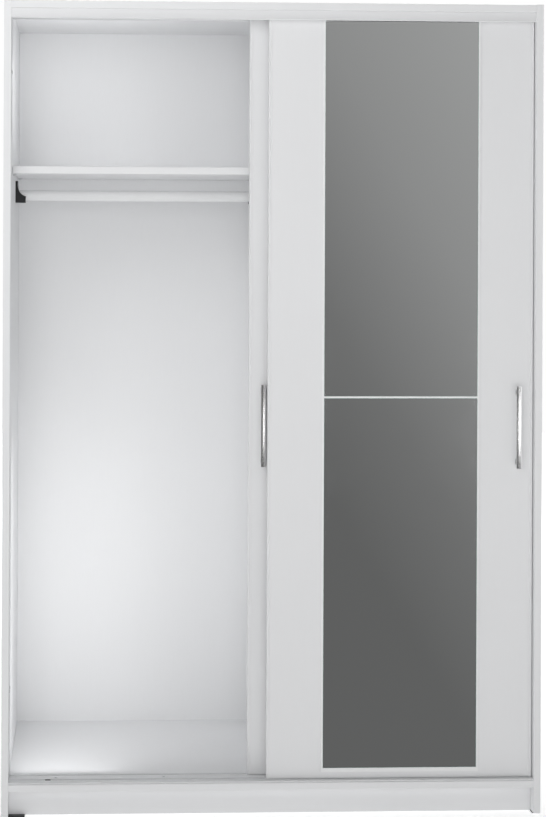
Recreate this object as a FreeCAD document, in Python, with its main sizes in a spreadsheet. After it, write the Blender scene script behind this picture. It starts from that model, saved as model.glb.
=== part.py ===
import FreeCAD, Part
import os
import re
import Sketcher
from FreeCAD import Placement, Rotation, Vector

# A two-door sliding wardrobe of coated board. Lengths are millimetres. Every place below is written in
# build axes: x from the left outer face, y backwards from the front plane, z up from the floor. The
# placements move that corner so that the origin is on the floor, in the middle of the footprint.

driving = {
    "overallWidth": 1200,
    "overallHeight": 1806,
    "overallDepth": 510,
    "boardThickness": 16,
    "arris": 0.6,
    "sillArris": 0.3,
    "overcut": 1,
    "topStepDown": 1,
    "glideThickness": 3,
    "glideLength": 52,
    "glideInset": 12,
    "plinthTop": 60.5,
    "plinthClearance": 1,
    "plinthSetback": 28,
    "rearPlinthInset": 70,
    "backThickness": 3,
    "backInset": 17,
    "grooveDepth": 5,
    "slideGap": 0.15,
    "stripWidth": 20,
    "stripWall": 1,
    "partitionGap": 7,
    "shelfTop": 1442.5,
    "shelfStep": 6,
    "shelfGap": 0.5,
    "firstLinenShelf": 420,
    "linenShelfPitch": 340,
    "supportInset": 40,
    "supportRadius": 2.5,
    "supportReach": 9,
    "supportHeight": 4,
    "supportWidth": 8,
    "supportHoleDepth": 7,
    "railRadius": 12.5,
    "railWall": 1.5,
    "railDrop": 46,
    "railDepth": 280,
    "bracketPlate": 5,
    "bracketReach": 24.5,
    "bracketWall": 4.35,
    "bracketAbove": 34,
    "bracketCup": 15,
    "bracketFlare": 1.5,
    "bracketSweep": 26,
    "bracketScrewRise": 25,
    "bracketScrewSpread": 9,
    "trackSetback": 2,
    "trackPlate": 2,
    "trackMargin": 9,
    "fasciaThickness": 2.5,
    "fasciaHeight": 22,
    "channelHeight": 18,
    "channelWall": 2,
    "guideRibHeight": 6,
    "guideRibThickness": 1.5,
    "guideSlot": 5,
    "sillHeight": 3.5,
    "sillGrooveDepth": 2.5,
    "sillGrooveWidth": 9,
    "doorOverlap": 25,
    "doorThickness": 16,
    "doorSetback": 15,
    "doorGap": 16,
    "doorSideGap": 1.5,
    "handlePassGap": 0.5,
    "doorHeadroom": 8,
    "doorSillGap": 0.8,
    "profileWidth": 8,
    "profileWall": 1,
    "profileArris": 0.5,
    "handleWidth": 12,
    "handleLength": 183,
    "handleProjection": 13,
    "handleBar": 5.5,
    "handleRound": 1.5,
    "handlePost": 10,
    "handlePostInset": 9,
    "handleInset": 33,
    "handleCentre": 863,
    "mirrorWidth": 344,
    "mirrorThickness": 3,
    "mirrorRise": 23.7,
    "mirrorTopInset": 4,
    "mirrorSplit": 929.5,
    "dividerHeight": 4,
    "trimWidth": 4,
    "trimThickness": 4,
    "channelTrimHeight": 9,
    "rollerRadius": 8,
    "rollerWidth": 6,
    "rollerArris": 0.75,
    "rollerGap": 0.3,
    "rollerInset": 60,
    "axleRadius": 2,
    "axleClearance": 0.1,
    "axleFrontStub": 1,
    "axleRearStub": 3,
    "axleEndWall": 1,
    "housingWidth": 40,
    "housingHeight": 40,
    "housingSkin": 2.5,
    "housingFlange": 1.5,
    "flangeTab": 14,
    "housingFit": 0.2,
    "rollerSlotGap": 0.6,
    "rollerWellGap": 1,
    "fittingScrewSpread": 12,
    "guideInset": 60,
    "guideWidth": 32,
    "guideHeight": 38,
    "plungerWidth": 16,
    "plungerThickness": 4,
    "plungerRise": 7,
    "plungerLength": 35,
    "plungerFit": 0.3,
    "plungerTravel": 6.5,
    "plungerWellGap": 1,
    "plungerArris": 0.8,
    "tabWidth": 6,
    "tabHeight": 6,
    "tabDrop": 18,
    "tabProud": 1,
    "dowelRadius": 4,
    "dowelClearance": 0.1,
    "dowelLength": 30,
    "dowelShallow": 12,
    "camRadius": 7.5,
    "camDepth": 13,
    "camInset": 34,
    "camClearance": 0.2,
    "camSink": 0.5,
    "camSlotWidth": 2,
    "camSlotDepth": 3,
    "camBoltRadius": 3.5,
    "camThreadRadius": 2.5,
    "screwRadius": 1.6,
    "screwHeadRadius": 3.5,
    "screwHeadHeight": 2,
    "screwLength": 14,
    "screwClearance": 0.15,
    "screwTipGap": 1,
    "recessReach": 3.9,
    "recessWidth": 0.9,
    "recessDepth": 0.9,
    "machineScrewRadius": 2,
    "machineScrewLength": 22,
    "machineHeadRadius": 3.8,
    "machineHeadHeight": 2.4,
    "machineRecessReach": 4.2,
    "machineRecessWidth": 1,
    "machineRecessDepth": 1.1,
    "frontFixing": 60,
    "rearFixing": 70,
    "frontCam": 110,
    "rearCam": 120,
    "partitionFrontDowel": 130,
    "partitionRearDowel": 80,
    "partitionFrontCam": 180,
    "partitionRearCam": 130,
    "wallBracketWidth": 40,
    "wallBracketHeight": 40,
    "wallBracketThickness": 2,
    "wallBracketReach": 15,
    "wallBracketInset": 200,
    "wallHoleRadius": 2.5,
    "wallHoleDrop": 25,
    "bumperRadius": 4,
    "bumperThickness": 1.2,
    "bumperRise": 200,
    "bumperDrop": 139,
    "stopLength": 12,
}

# Places that follow from the driving sizes, as text that the spreadsheet evaluates.
innerLeft = "boardThickness"
innerRight = "(overallWidth - boardThickness)"
middle = "(overallWidth / 2)"
bottomTop = "(plinthTop + boardThickness)"
bottomMiddle = "(plinthTop + boardThickness / 2)"
topAbove = "(overallHeight - topStepDown)"
topUnder = "(overallHeight - topStepDown - boardThickness)"
topMiddle = "(overallHeight - topStepDown - boardThickness / 2)"
backFace = "(overallDepth - backInset - backThickness)"
doorPitch = "(doorThickness + doorGap)"
trackRear = f"(doorSetback + doorThickness + {doorPitch} + trackMargin)"
partitionFront = f"({trackRear} + partitionGap)"
shelfFront = f"({partitionFront} + shelfStep)"
partitionLeft = "(overallWidth / 2 - boardThickness / 2)"
partitionRight = "(overallWidth / 2 + boardThickness / 2)"
partitionRear = f"({backFace} - slideGap - stripWall)"
shelfUnder = "(shelfTop - boardThickness)"
shelfRear = f"({backFace} - stripWall - shelfGap)"
railHeight = f"({shelfUnder} - railDrop)"
frontPlinthMiddle = "(plinthSetback + boardThickness / 2)"
rearPlinthFront = "(overallDepth - rearPlinthInset)"
rearPlinthMiddle = f"({rearPlinthFront} + boardThickness / 2)"
plinthMiddle = "((plinthTop + plinthClearance) / 2)"
sillTop = f"({bottomTop} + sillHeight)"
sillFloor = f"({sillTop} - sillGrooveDepth)"
doorBottom = f"({sillTop} + doorSillGap)"
doorTop = f"({topUnder} - trackPlate - doorHeadroom)"
frontPlane = "(doorSetback + doorThickness / 2)"
rearPlane = f"({frontPlane} + {doorPitch})"
betweenDoors = f"({frontPlane} + {doorPitch} / 2)"
rollerAxle = f"({sillFloor} + rollerGap + rollerRadius)"
mirrorBottom = f"({doorBottom} + mirrorRise)"
doorWidth = "((overallWidth - 2 * boardThickness - 2 * doorSideGap + doorOverlap) / 2)"
closedLeft = "(boardThickness + doorSideGap)"
closedRight = f"(overallWidth - {closedLeft} - {doorWidth})"
doorTravel = f"({closedRight} - {closedLeft} - handleInset - handleWidth / 2 - handlePassGap)"
openRight = f"({closedLeft} + {doorTravel})"
housingDepth = "(doorThickness - housingSkin)"
bracketBelow = "(railRadius + slideGap + bracketWall)"
dowelDeep = "(dowelLength - dowelShallow)"

document = FreeCAD.newDocument("wardrobe")
sheet = document.addObject("Spreadsheet::Sheet", "Sizes")
for row, (alias, value) in enumerate(driving.items(), start=1):
    sheet.set(f"A{row}", alias)
    sheet.set(f"B{row}", str(value))
    sheet.setAlias(f"B{row}", alias)
document.recompute()

nodes = []
aboutFace = Rotation(Vector(0, 0, 1), 180)
planeRoles = {"x": "YZ_Plane", "y": "XZ_Plane", "z": "XY_Plane"}
planeAxes = {"x": (1, 2), "y": (0, 2), "z": (0, 1)}


def bound(text):
    # The same expression with each size named as a cell of the sheet, and functions left as they are.
    return re.sub(r"\b[A-Za-z]\w*\b(?!\()", lambda word: "Sizes." + word.group(0), text)


def number(text):
    return float(sheet.evalExpression(bound(text)))


def minus(text, other):
    return f"({text}) - ({other})"


def place(item, corner, rotation=Rotation()):
    # Puts an object at a point of the build axes, measured from the middle of the footprint.
    item.Placement = Placement(Vector(), rotation)
    shifts = ("overallWidth / 2", "overallDepth / 2", "0")
    for letter, at, shift in zip("xyz", corner, shifts):
        item.setExpression(f"Placement.Base.{letter}", bound(minus(at, shift)))


class Piece:
    # A body whose pads and pockets are given in build axes, or in its own axes where own is true.
    def __init__(self, label, corner, rotation=Rotation(), own=False):
        self.body = document.addObject("PartDesign::Body", label)
        self.body.Label = label
        self.corner = ("0", "0", "0") if own else corner
        place(self.body, corner, rotation)
        nodes.append(self.body)

    def sketch(self, axis, start):
        sketch = self.body.newObject("Sketcher::SketchObject", "Sketch")
        planes = self.body.Origin.OriginFeatures
        sketch.AttachmentSupport = [(next(p for p in planes if p.Role == planeRoles[axis]), "")]
        sketch.MapMode = "FlatFace"
        height = minus(start, self.corner["xyz".index(axis)])
        sketch.setExpression("AttachmentOffset.Base.z", bound(f"-({height})" if axis == "y" else height))
        return sketch

    def flat(self, axis, point):
        # The two in-plane coordinates of a point, from the body's own corner.
        return [minus(point[i], self.corner[i]) for i in planeAxes[axis]]

    def draw(self, axis, start, rectangles, circles, outlines):
        sketch = self.sketch(axis, start)
        for low, high in rectangles:
            (left, base), (right, top) = self.flat(axis, low), self.flat(axis, high)
            closed(sketch, [(left, base), (right, base), (right, top), (left, top)])
        for centre, radius in circles:
            ring(sketch, self.flat(axis, centre), radius)
        for points in outlines:
            closed(sketch, points)
        return sketch

    def pad(self, axis, start, end, rectangles=(), circles=(), outlines=()):
        feature = self.body.newObject("PartDesign::Pad", "Pad")
        feature.Profile = (self.draw(axis, start, rectangles, circles, outlines), [""])
        feature.setExpression("Length", bound(minus(end, start)))
        feature.Reversed = axis == "y"
        self.body.Tip = feature
        return self

    def pocket(self, axis, start, depth, towards, rectangles=(), circles=(), outlines=()):
        feature = self.body.newObject("PartDesign::Pocket", "Pocket")
        feature.Profile = (self.draw(axis, start, rectangles, circles, outlines), [""])
        feature.setExpression("Length", bound(depth))
        feature.Reversed = (towards > 0) != (axis == "y")
        self.body.Tip = feature
        return self

    def edges(self, kind, size):
        # Breaks every edge of what is there so far: kind is Chamfer or Fillet.
        plain = self.body.Tip
        feature = self.body.newObject("PartDesign::" + kind, kind)
        feature.Base = (plain, ["Edge1"])
        feature.UseAllEdges = True
        feature.setExpression("Size" if kind == "Chamfer" else "Radius", bound(size))
        self.body.Tip = feature
        return self


def dimension(sketch, kind, arguments, text):
    index = sketch.addConstraint(Sketcher.Constraint(kind, *arguments, number(text)))
    sketch.renameConstraint(index, f"size{index}")
    sketch.setExpression(f"Constraints.size{index}", bound(text))


def closed(sketch, points):
    # A closed outline of straight sides through points.
    spots = [Vector(number(x), number(y), 0) for x, y in points]
    following = spots[1:] + spots[:1]
    sides = [Part.LineSegment(spot, after) for spot, after in zip(spots, following)]
    ids = sketch.addGeometry(sides, False)
    for index, after in zip(ids, ids[1:] + ids[:1]):
        sketch.addConstraint(Sketcher.Constraint("Coincident", index, 2, after, 1))
    for index, (x, y) in zip(ids, points):
        dimension(sketch, "DistanceX", (-1, 1, index, 1), x)
        dimension(sketch, "DistanceY", (-1, 1, index, 1), y)


def ring(sketch, centre, radius):
    at = Vector(number(centre[0]), number(centre[1]), 0)
    circle = sketch.addGeometry(Part.Circle(at, Vector(0, 0, 1), number(radius)), False)
    dimension(sketch, "DistanceX", (-1, 1, circle, 3), centre[0])
    dimension(sketch, "DistanceY", (-1, 1, circle, 3), centre[1])
    dimension(sketch, "Radius", (circle,), radius)


def board(label, low, high):
    # A rectangular board between two corners, with its edges broken.
    piece = Piece(label, low)
    return piece.pad("z", low[2], high[2], rectangles=[(low, high)]).edges("Chamfer", "arris")


def strip(label, low, high):
    # A plain rectangular bar between two corners.
    piece = Piece(label, low)
    return piece.pad("z", low[2], high[2], rectangles=[(low, high)])


def holes(points, radius):
    return [(point, radius) for point in points]


# Where the fastenings go, as points of the build axes.
sideRows = {"dowel": ("frontFixing", "(overallDepth - rearFixing)"),
            "cam": ("frontCam", "(overallDepth - rearCam)")}
partitionRows = {"dowel": ("partitionFrontDowel", "(overallDepth - partitionRearDowel)"),
                 "cam": ("partitionFrontCam", "(overallDepth - partitionRearCam)")}
plinthRows = (frontPlinthMiddle, rearPlinthMiddle)
plinthColumns = ("overallWidth / 4", "overallWidth * 3 / 4")
trackColumns = [f"(overallWidth * {share} / 10)" for share in (1, 3, 5, 7, 9)]
ribOuter = "guideSlot / 2 + guideRibThickness"
headScrewRows = (f"(({frontPlane} + {ribOuter} + {betweenDoors} - channelWall / 2) / 2)",
                 f"(({rearPlane} + {ribOuter} + {trackRear} - trackPlate) / 2)")
headScrews = [(x, y, f"({topUnder} - trackPlate)") for y in headScrewRows for x in trackColumns]
sillScrews = [(x, betweenDoors, sillTop) for x in trackColumns]
shelfTops = ["firstLinenShelf", "(firstLinenShelf + linenShelfPitch)",
             "(firstLinenShelf + 2 * linenShelfPitch)", "shelfTop"]
supportRows = (f"({shelfFront} + supportInset)", f"({shelfRear} - supportInset + stripWall)")
wallBracketColumns = ("wallBracketInset", "(overallWidth - wallBracketInset)")
wallScrews = [(x, "(overallDepth - wallBracketReach / 2 - wallBracketThickness / 2)",
               f"({topUnder} - wallBracketThickness)") for x in wallBracketColumns]


def sideJoints(kind, x):
    return [(x, y, z) for y in sideRows[kind] for z in (topMiddle, bottomMiddle)]


def plinthEnds(x):
    return [(x, y, plinthMiddle) for y in plinthRows]


def supportPoints(x, tops):
    drop = "supportHeight / 2"
    return [(x, y, f"({top} - boardThickness - {drop})") for top in tops for y in supportRows]


def bracketScrews(x):
    height = f"({railHeight} + bracketScrewRise)"
    return [(x, f"(railDepth - {side} * bracketScrewSpread)", height) for side in (-1, 1)]


def sidePanel(label, outer, inner, direction, tops):
    # direction is the way from the compartment into the board: -1 on the left, 1 on the right.
    low, high = (outer, inner) if direction < 0 else (inner, outer)
    panel = board(label, (low, "0", "glideThickness"), (high, "overallDepth", "overallHeight"))
    panel.pocket("x", inner, "dowelShallow", direction,
                 circles=holes(sideJoints("dowel", inner) + plinthEnds(inner), "dowelRadius"))
    panel.pocket("x", inner, "dowelShallow", direction,
                 circles=holes(sideJoints("cam", inner), "camThreadRadius + screwClearance"))
    panel.pocket("x", inner, "supportHoleDepth", direction,
                 circles=holes(supportPoints(inner, tops), "supportRadius"))
    panel.pocket("x", inner, "grooveDepth", direction, rectangles=[
        ((inner, f"{backFace} - slideGap", "glideThickness - overcut"),
         (inner, f"{backFace} + backThickness + slideGap", "overallHeight + overcut"))])
    return panel


def endJoints(panel, face, rows, inward, level):
    # Bores into both ends of a panel between the sides, and cam seats from a face, inward along z.
    for end, into in ((innerLeft, 1), (innerRight, -1)):
        panel.pocket("x", end, f"{dowelDeep} + slideGap", into,
                     circles=holes([(end, y, level) for y in rows["dowel"]], "dowelRadius"))
        panel.pocket("x", end, "camInset", into,
                     circles=holes([(end, y, level) for y in rows["cam"]], "camBoltRadius + camClearance"))
    camColumns = (f"({innerLeft} + camInset)", f"({innerRight} - camInset)")
    panel.pocket("z", face, "camDepth", inward,
                 circles=holes([(x, y, face) for x in camColumns for y in rows["cam"]], "camRadius"))


def crossPanel(label, low, high, inside, outside, into):
    # The top or the bottom: inside is its face towards the compartments, and into points into the board.
    panel = board(label, (innerLeft, "0", low), (innerRight, "overallDepth", high))
    level = f"(({low} + {high}) / 2)"
    endJoints(panel, outside, sideRows, -into, level)
    panel.pocket("z", inside, "grooveDepth", into, rectangles=[
        ((f"{innerLeft} - overcut", f"{backFace} - slideGap", inside),
         (f"{innerRight} + overcut", f"{backFace} + backThickness + slideGap", inside))])
    panel.pocket("z", inside, "dowelShallow", into,
                 circles=holes([(middle, y, inside) for y in partitionRows["dowel"]], "dowelRadius"))
    panel.pocket("z", inside, "dowelShallow", into,
                 circles=holes([(middle, y, inside) for y in partitionRows["cam"]],
                               "camThreadRadius + screwClearance"))
    return panel


def carcass():
    left = sidePanel("left_side_panel", "0", innerLeft, -1, shelfTops[3:])
    left.pocket("x", innerLeft, "screwLength", -1,
                circles=holes(bracketScrews(innerLeft), "screwRadius + screwClearance"))
    sidePanel("right_side_panel", "overallWidth", innerRight, 1, shelfTops)
    top = crossPanel("top_panel", topUnder, topAbove, topUnder, topAbove, 1)
    top.pocket("z", topUnder, "screwLength", 1,
               circles=holes(headScrews + wallScrews, "screwRadius + screwClearance"))
    bottom = crossPanel("bottom_panel", "plinthTop", bottomTop, bottomTop, "plinthTop", -1)
    bottom.pocket("z", bottomTop, "screwLength", -1,
                  circles=holes(sillScrews, "screwRadius + screwClearance"))
    bottom.pocket("z", "plinthTop", "dowelShallow", 1, circles=holes(
        [(x, y, "plinthTop") for x in plinthColumns for y in plinthRows], "dowelRadius"))
    partition()
    plinth("front_plinth", "plinthSetback")
    plinth("rear_plinth", rearPlinthFront)


def partition():
    panel = board("centre_partition", (partitionLeft, partitionFront, bottomTop),
                  (partitionRight, partitionRear, topUnder))
    for end, into in ((bottomTop, 1), (topUnder, -1)):
        panel.pocket("z", end, f"{dowelDeep} + slideGap", into, circles=holes(
            [(middle, y, end) for y in partitionRows["dowel"]], "dowelRadius"))
        panel.pocket("z", end, "camInset", into, circles=holes(
            [(middle, y, end) for y in partitionRows["cam"]], "camBoltRadius + camClearance"))
    levels = (f"({bottomTop} + camInset)", f"({topUnder} - camInset)")
    panel.pocket("x", partitionRight, "camDepth", -1, circles=holes(
        [(partitionRight, y, z) for y in partitionRows["cam"] for z in levels], "camRadius"))
    panel.pocket("x", partitionLeft, "supportHoleDepth", 1,
                 circles=holes(supportPoints(partitionLeft, shelfTops[3:]), "supportRadius"))
    panel.pocket("x", partitionRight, "supportHoleDepth", -1,
                 circles=holes(supportPoints(partitionRight, shelfTops), "supportRadius"))
    panel.pocket("x", partitionLeft, "screwLength", 1,
                 circles=holes(bracketScrews(partitionLeft), "screwRadius + screwClearance"))


def plinth(label, front):
    low = (innerLeft, front, "plinthClearance")
    panel = board(label, low, (innerRight, f"{front} + boardThickness", "plinthTop"))
    centre = f"({front} + boardThickness / 2)"
    for end, into in ((innerLeft, 1), (innerRight, -1)):
        panel.pocket("x", end, f"{dowelDeep} + slideGap", into,
                     circles=holes([(end, centre, plinthMiddle)], "dowelRadius"))
    panel.pocket("z", "plinthTop", f"{dowelDeep} + slideGap", -1,
                 circles=holes([(x, centre, "plinthTop") for x in plinthColumns], "dowelRadius"))


def backs():
    # Two thin panels in the grooves, joined behind the partition by an H-shaped strip.
    reach = "(grooveDepth - 2 * slideGap)"
    low, high = f"({bottomTop} - {reach})", f"({topUnder} + {reach})"
    rear = f"({backFace} + backThickness)"
    web = "(stripWall / 2 + slideGap)"
    strip("back_panel_left", (f"({innerLeft} - {reach})", backFace, low),
          (f"({middle} - {web})", rear, high))
    strip("back_panel_right", (f"({middle} + {web})", backFace, low),
          (f"({innerRight} + {reach})", rear, high))
    edges = (f"({middle} - stripWidth / 2)", f"({middle} + stripWidth / 2)")
    front = f"({backFace} - slideGap / 2 - stripWall)"
    joint = Piece("back_joint_strip", (edges[0], front, bottomTop))
    flanges = [((edges[0], y, "0"), (edges[1], f"{y} + stripWall", "0"))
               for y in (front, f"({rear} + slideGap / 2)")]
    core = ((f"{middle} - stripWall / 2", front, "0"),
            (f"{middle} + stripWall / 2", f"{rear} + slideGap / 2 + stripWall / 2", "0"))
    for section in (flanges[0], core, flanges[1]):
        joint.pad("z", bottomTop, topUnder, rectangles=[section])


def shelves():
    bays = {"left": (innerLeft, partitionLeft), "right": (partitionRight, innerRight)}
    shelf("upper_shelf_left", bays["left"], "shelfTop")
    shelf("upper_shelf_right", bays["right"], "shelfTop")
    for name, top in zip(("lower", "middle", "upper"), shelfTops):
        shelf(f"linen_shelf_{name}", bays["right"], top)


def shelf(label, bay, top):
    board(label, (f"({bay[0]} + shelfGap)", shelfFront, f"({top} - boardThickness)"),
          (f"({bay[1]} - shelfGap)", shelfRear, top))


def rail():
    ends = (f"({innerLeft} + bracketPlate + slideGap)", f"({partitionLeft} - bracketPlate - slideGap)")
    tube = Piece("hanging_rail", (ends[0], "railDepth", railHeight))
    centre = (ends[0], "railDepth", railHeight)
    tube.pad("x", ends[0], ends[1], circles=[(centre, "railRadius"), (centre, "railRadius - railWall")])
    railBracket("rail_bracket_left", innerLeft, Rotation())
    railBracket("rail_bracket_right", partitionLeft, aboutFace)


def railBracket(label, face, rotation):
    # A plate on the panel that flares into an open cup for the rail, drawn from the rail's axis.
    piece = Piece(label, (face, "railDepth", railHeight), rotation, own=True)
    lip = f"(bracketCup - {bracketBelow})"
    width = (f"-{bracketBelow}", bracketBelow)
    piece.pad("y", *width, outlines=[[("0", width[0]), ("bracketReach - bracketFlare", width[0]),
                                      ("bracketReach", lip), ("bracketReach", "bracketAbove"),
                                      ("0", "bracketAbove")]])
    centre = ("bracketPlate + bracketSweep", "0",
              f"{lip} + sqrt(bracketSweep ^ 2 - (bracketReach - bracketPlate - bracketSweep) ^ 2)")
    piece.pocket("y", width[0], f"2 * {bracketBelow}", 1, circles=[(centre, "bracketSweep")])
    piece.pocket("y", width[0], f"2 * {bracketBelow}", 1, rectangles=[
        (("bracketPlate", "0", centre[2]), ("bracketReach + overcut", "0", "bracketAbove + overcut"))])
    bore = "(railRadius + slideGap)"
    piece.pocket("x", "bracketPlate", "bracketReach", 1, circles=[(("0", "0", "0"), bore)])
    piece.pocket("x", "bracketPlate", "bracketReach", 1,
                 rectangles=[(("0", f"-{bore}", "0"), ("0", bore, "bracketAbove + overcut"))])
    screws = [("0", f"{side} * bracketScrewSpread", "bracketScrewRise") for side in (-1, 1)]
    piece.pocket("x", "0", "bracketPlate", 1, circles=holes(screws, "screwRadius + screwClearance"))


def topTrack():
    # An extrusion with a fascia, two channels and a pair of guide ribs in each channel.
    under = f"({topUnder} - trackPlate)"
    track = Piece("top_track", (innerLeft, "trackSetback", under))
    track.pad("x", innerLeft, innerRight,
              rectangles=[(("0", "trackSetback", under), ("0", trackRear, topUnder))])
    walls = [("trackSetback", "trackSetback + fasciaThickness", "fasciaHeight"),
             (f"{betweenDoors} - channelWall / 2", f"{betweenDoors} + channelWall / 2", "channelHeight"),
             (f"{trackRear} - trackPlate", trackRear, "channelHeight")]
    for plane in (frontPlane, rearPlane):
        for side in (-1, 1):
            inner = f"{plane} + {side} * guideSlot / 2"
            outer = f"{plane} + {side} * ({ribOuter})"
            walls.append((*((inner, outer) if side > 0 else (outer, inner)), "trackPlate + guideRibHeight"))
    track.pad("x", innerLeft, innerRight, rectangles=[
        (("0", front, minus(topUnder, height)), ("0", rear, under)) for front, rear, height in walls])
    track.pocket("z", under, "trackPlate", 1, circles=holes(headScrews, "screwRadius + screwClearance"))


def bottomTrack():
    # A low sill with one roller groove for each door.
    sill = Piece("bottom_track", (innerLeft, "trackSetback", bottomTop))
    sill.pad("x", innerLeft, innerRight,
             rectangles=[(("0", "trackSetback", bottomTop), ("0", trackRear, sillTop))])
    sill.edges("Chamfer", "sillArris")
    sill.pocket("z", sillTop, "sillGrooveDepth", -1, rectangles=[
        ((f"{innerLeft} - overcut", f"{plane} - sillGrooveWidth / 2", "0"),
         (f"{innerRight} + overcut", f"{plane} + sillGrooveWidth / 2", "0"))
        for plane in (frontPlane, rearPlane)])
    sill.pocket("z", sillTop, "sillHeight", -1, circles=holes(sillScrews, "screwRadius + screwClearance"))
    sill.pocket("z", sillTop, "screwHeadHeight", -1,
                circles=holes(sillScrews, "screwHeadRadius + screwClearance"))


def glides():
    # The front left glide lies across, up to the plinth, and shows beside the panel; the others lie
    # along their panel.
    across = box(("0", "(plinthSetback - boardThickness)", "0"),
                 ("glideLength", "boardThickness", "glideThickness"))
    rear = "(overallDepth - glideInset - glideLength)"
    along = ("boardThickness", "glideLength", "glideThickness")
    others = [box((x, y, "0"), along) for x, y in
              (("0", rear), (innerRight, "glideInset"), (innerRight, rear))]
    group("floor_glides", [across] + others)


def door(name, left, setback, handleSide):
    back = f"({setback} + doorThickness)"
    right = f"({left} + {doorWidth})"
    plane = f"({setback} + doorThickness / 2)"
    rollers = (f"({left} + rollerInset)", f"({right} - rollerInset)")
    guides = (f"({left} + guideInset)", f"({right} - guideInset)")
    grip = f"({left} + handleInset)" if handleSide < 0 else f"({right} - handleInset)"
    panel = board(f"{name}_door_panel", (f"({left} + profileWall)", setback, doorBottom),
                  (f"({right} - profileWall)", back, doorTop))
    panel.pocket("y", back, housingDepth, -1, rectangles=[
        ((f"{x} - housingWidth / 2", "0", f"{doorBottom} - overcut"),
         (f"{x} + housingWidth / 2", "0", f"{doorBottom} + housingHeight")) for x in rollers])
    panel.pocket("y", back, housingDepth, -1, rectangles=[
        ((f"{x} - guideWidth / 2", "0", f"{doorTop} - guideHeight"),
         (f"{x} + guideWidth / 2", "0", f"{doorTop} + overcut")) for x in guides])
    fittings = fittingScrews(rollers, guides, back)
    panel.pocket("y", back, "screwLength - screwTipGap", -1,
                 circles=holes(fittings, "screwRadius + screwClearance"))
    posts = handleScrews(grip, setback)
    panel.pocket("y", back, "doorThickness", -1,
                 circles=holes(posts, "machineScrewRadius + screwClearance"))
    panel.pocket("y", back, "machineHeadHeight + screwClearance", -1,
                 circles=holes(posts, "machineHeadRadius + screwClearance"))
    for side, edge, rotation in (("left", left, Rotation()), ("right", right, aboutFace)):
        edgeProfile(f"{name}_door_{side}_profile", (edge, plane, doorBottom), rotation)
    handle(f"{name}_door_handle", grip, setback)
    rollerHousings(f"{name}_roller_housings", rollers, back, plane)
    guideHousings(f"{name}_guide_housings", guides, back, plane)
    group(f"{name}_door_screws",
          [copyOf(boardScrew, (x, f"({y} + housingFlange + screwHeadHeight)", z), "-y")
           for x, y, z in fittings]
          + [copyOf(machineScrew, (x, back, z), "-y") for x, y, z in posts])
    for side, roller, guide in zip(("left", "right"), rollers, guides):
        rollerWheel(f"{name}_roller_{side}", (roller, plane, rollerAxle))
        topGuide(f"{name}_guide_{side}", (guide, plane, doorTop))


def fittingScrews(rollers, guides, back):
    low = f"({doorBottom} + housingHeight + flangeTab / 2)"
    high = f"({doorTop} - guideHeight - flangeTab / 2)"
    return [(f"({x} + {side} * fittingScrewSpread)", back, z)
            for columns, z in ((rollers, low), (guides, high)) for x in columns for side in (-1, 1)]


def handleScrews(grip, setback):
    offset = "(handleLength / 2 - handlePostInset - handlePost / 2)"
    return [(grip, setback, f"(handleCentre - {side} * {offset})") for side in (-1, 1)]


def edgeProfile(label, corner, rotation):
    # A channel that wraps the door's upright edge, drawn from its outer face and the door's mid-plane.
    half = "doorThickness / 2 + profileWall"
    height = minus(doorTop, doorBottom)
    piece = Piece(label, corner, rotation, own=True)
    piece.pad("z", "0", height, rectangles=[(("0", f"-({half})", "0"), ("profileWidth", half, "0"))])
    piece.edges("Chamfer", "profileArris")
    piece.pocket("z", f"{height} + overcut", f"{height} + 2 * overcut", -1,
                 rectangles=[(("profileWall", "-doorThickness / 2", "0"),
                              ("profileWidth + overcut", "doorThickness / 2", "0"))])


def handle(label, grip, setback):
    # A rounded bar on two posts, screwed from behind the door.
    low, high = "(handleCentre - handleLength / 2)", "(handleCentre + handleLength / 2)"
    front = f"({setback} - handleProjection)"
    left, right = f"({grip} - handleWidth / 2)", f"({grip} + handleWidth / 2)"
    inside = f"({front} + handleBar)"
    piece = Piece(label, (left, front, low))
    piece.pad("y", front, inside, rectangles=[((left, "0", low), (right, "0", high))])
    piece.edges("Fillet", "handleRound")
    posts = handleScrews(grip, setback)
    piece.pad("y", f"{inside} - handleRound", setback, rectangles=[
        ((f"{left} + handleRound", "0", f"{z} - handlePost / 2"),
         (f"{right} - handleRound", "0", f"{z} + handlePost / 2")) for x, y, z in posts])
    piece.pocket("y", setback, "machineScrewLength - doorThickness", -1,
                 circles=holes(posts, "machineScrewRadius + screwClearance"))


def mirror():
    # Two plates on the front door, split by a divider and framed by slim trims.
    left = f"({closedRight} + {doorWidth} / 2 - mirrorWidth / 2)"
    right = f"({left} + mirrorWidth)"
    plate = "(doorSetback - mirrorThickness)"
    face = "(doorSetback - trimThickness)"
    top = f"({doorTop} - mirrorTopInset)"
    splits = ("(mirrorSplit - dividerHeight / 2)", "(mirrorSplit + dividerHeight / 2)")
    board("mirror_lower", (left, plate, mirrorBottom), (right, "doorSetback", splits[0]))
    board("mirror_upper", (left, plate, splits[1]), (right, "doorSetback", top))
    strip("mirror_divider", (left, face, splits[0]), (right, "doorSetback", splits[1]))
    strip("mirror_left_trim", (f"({left} - trimWidth)", face, mirrorBottom), (left, "doorSetback", top))
    strip("mirror_right_trim", (right, face, mirrorBottom), (f"({right} + trimWidth)", "doorSetback", top))
    strip("mirror_bottom_trim", (f"({left} - trimWidth)", face, f"({mirrorBottom} - channelTrimHeight)"),
          (f"({right} + trimWidth)", "doorSetback", mirrorBottom))


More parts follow.
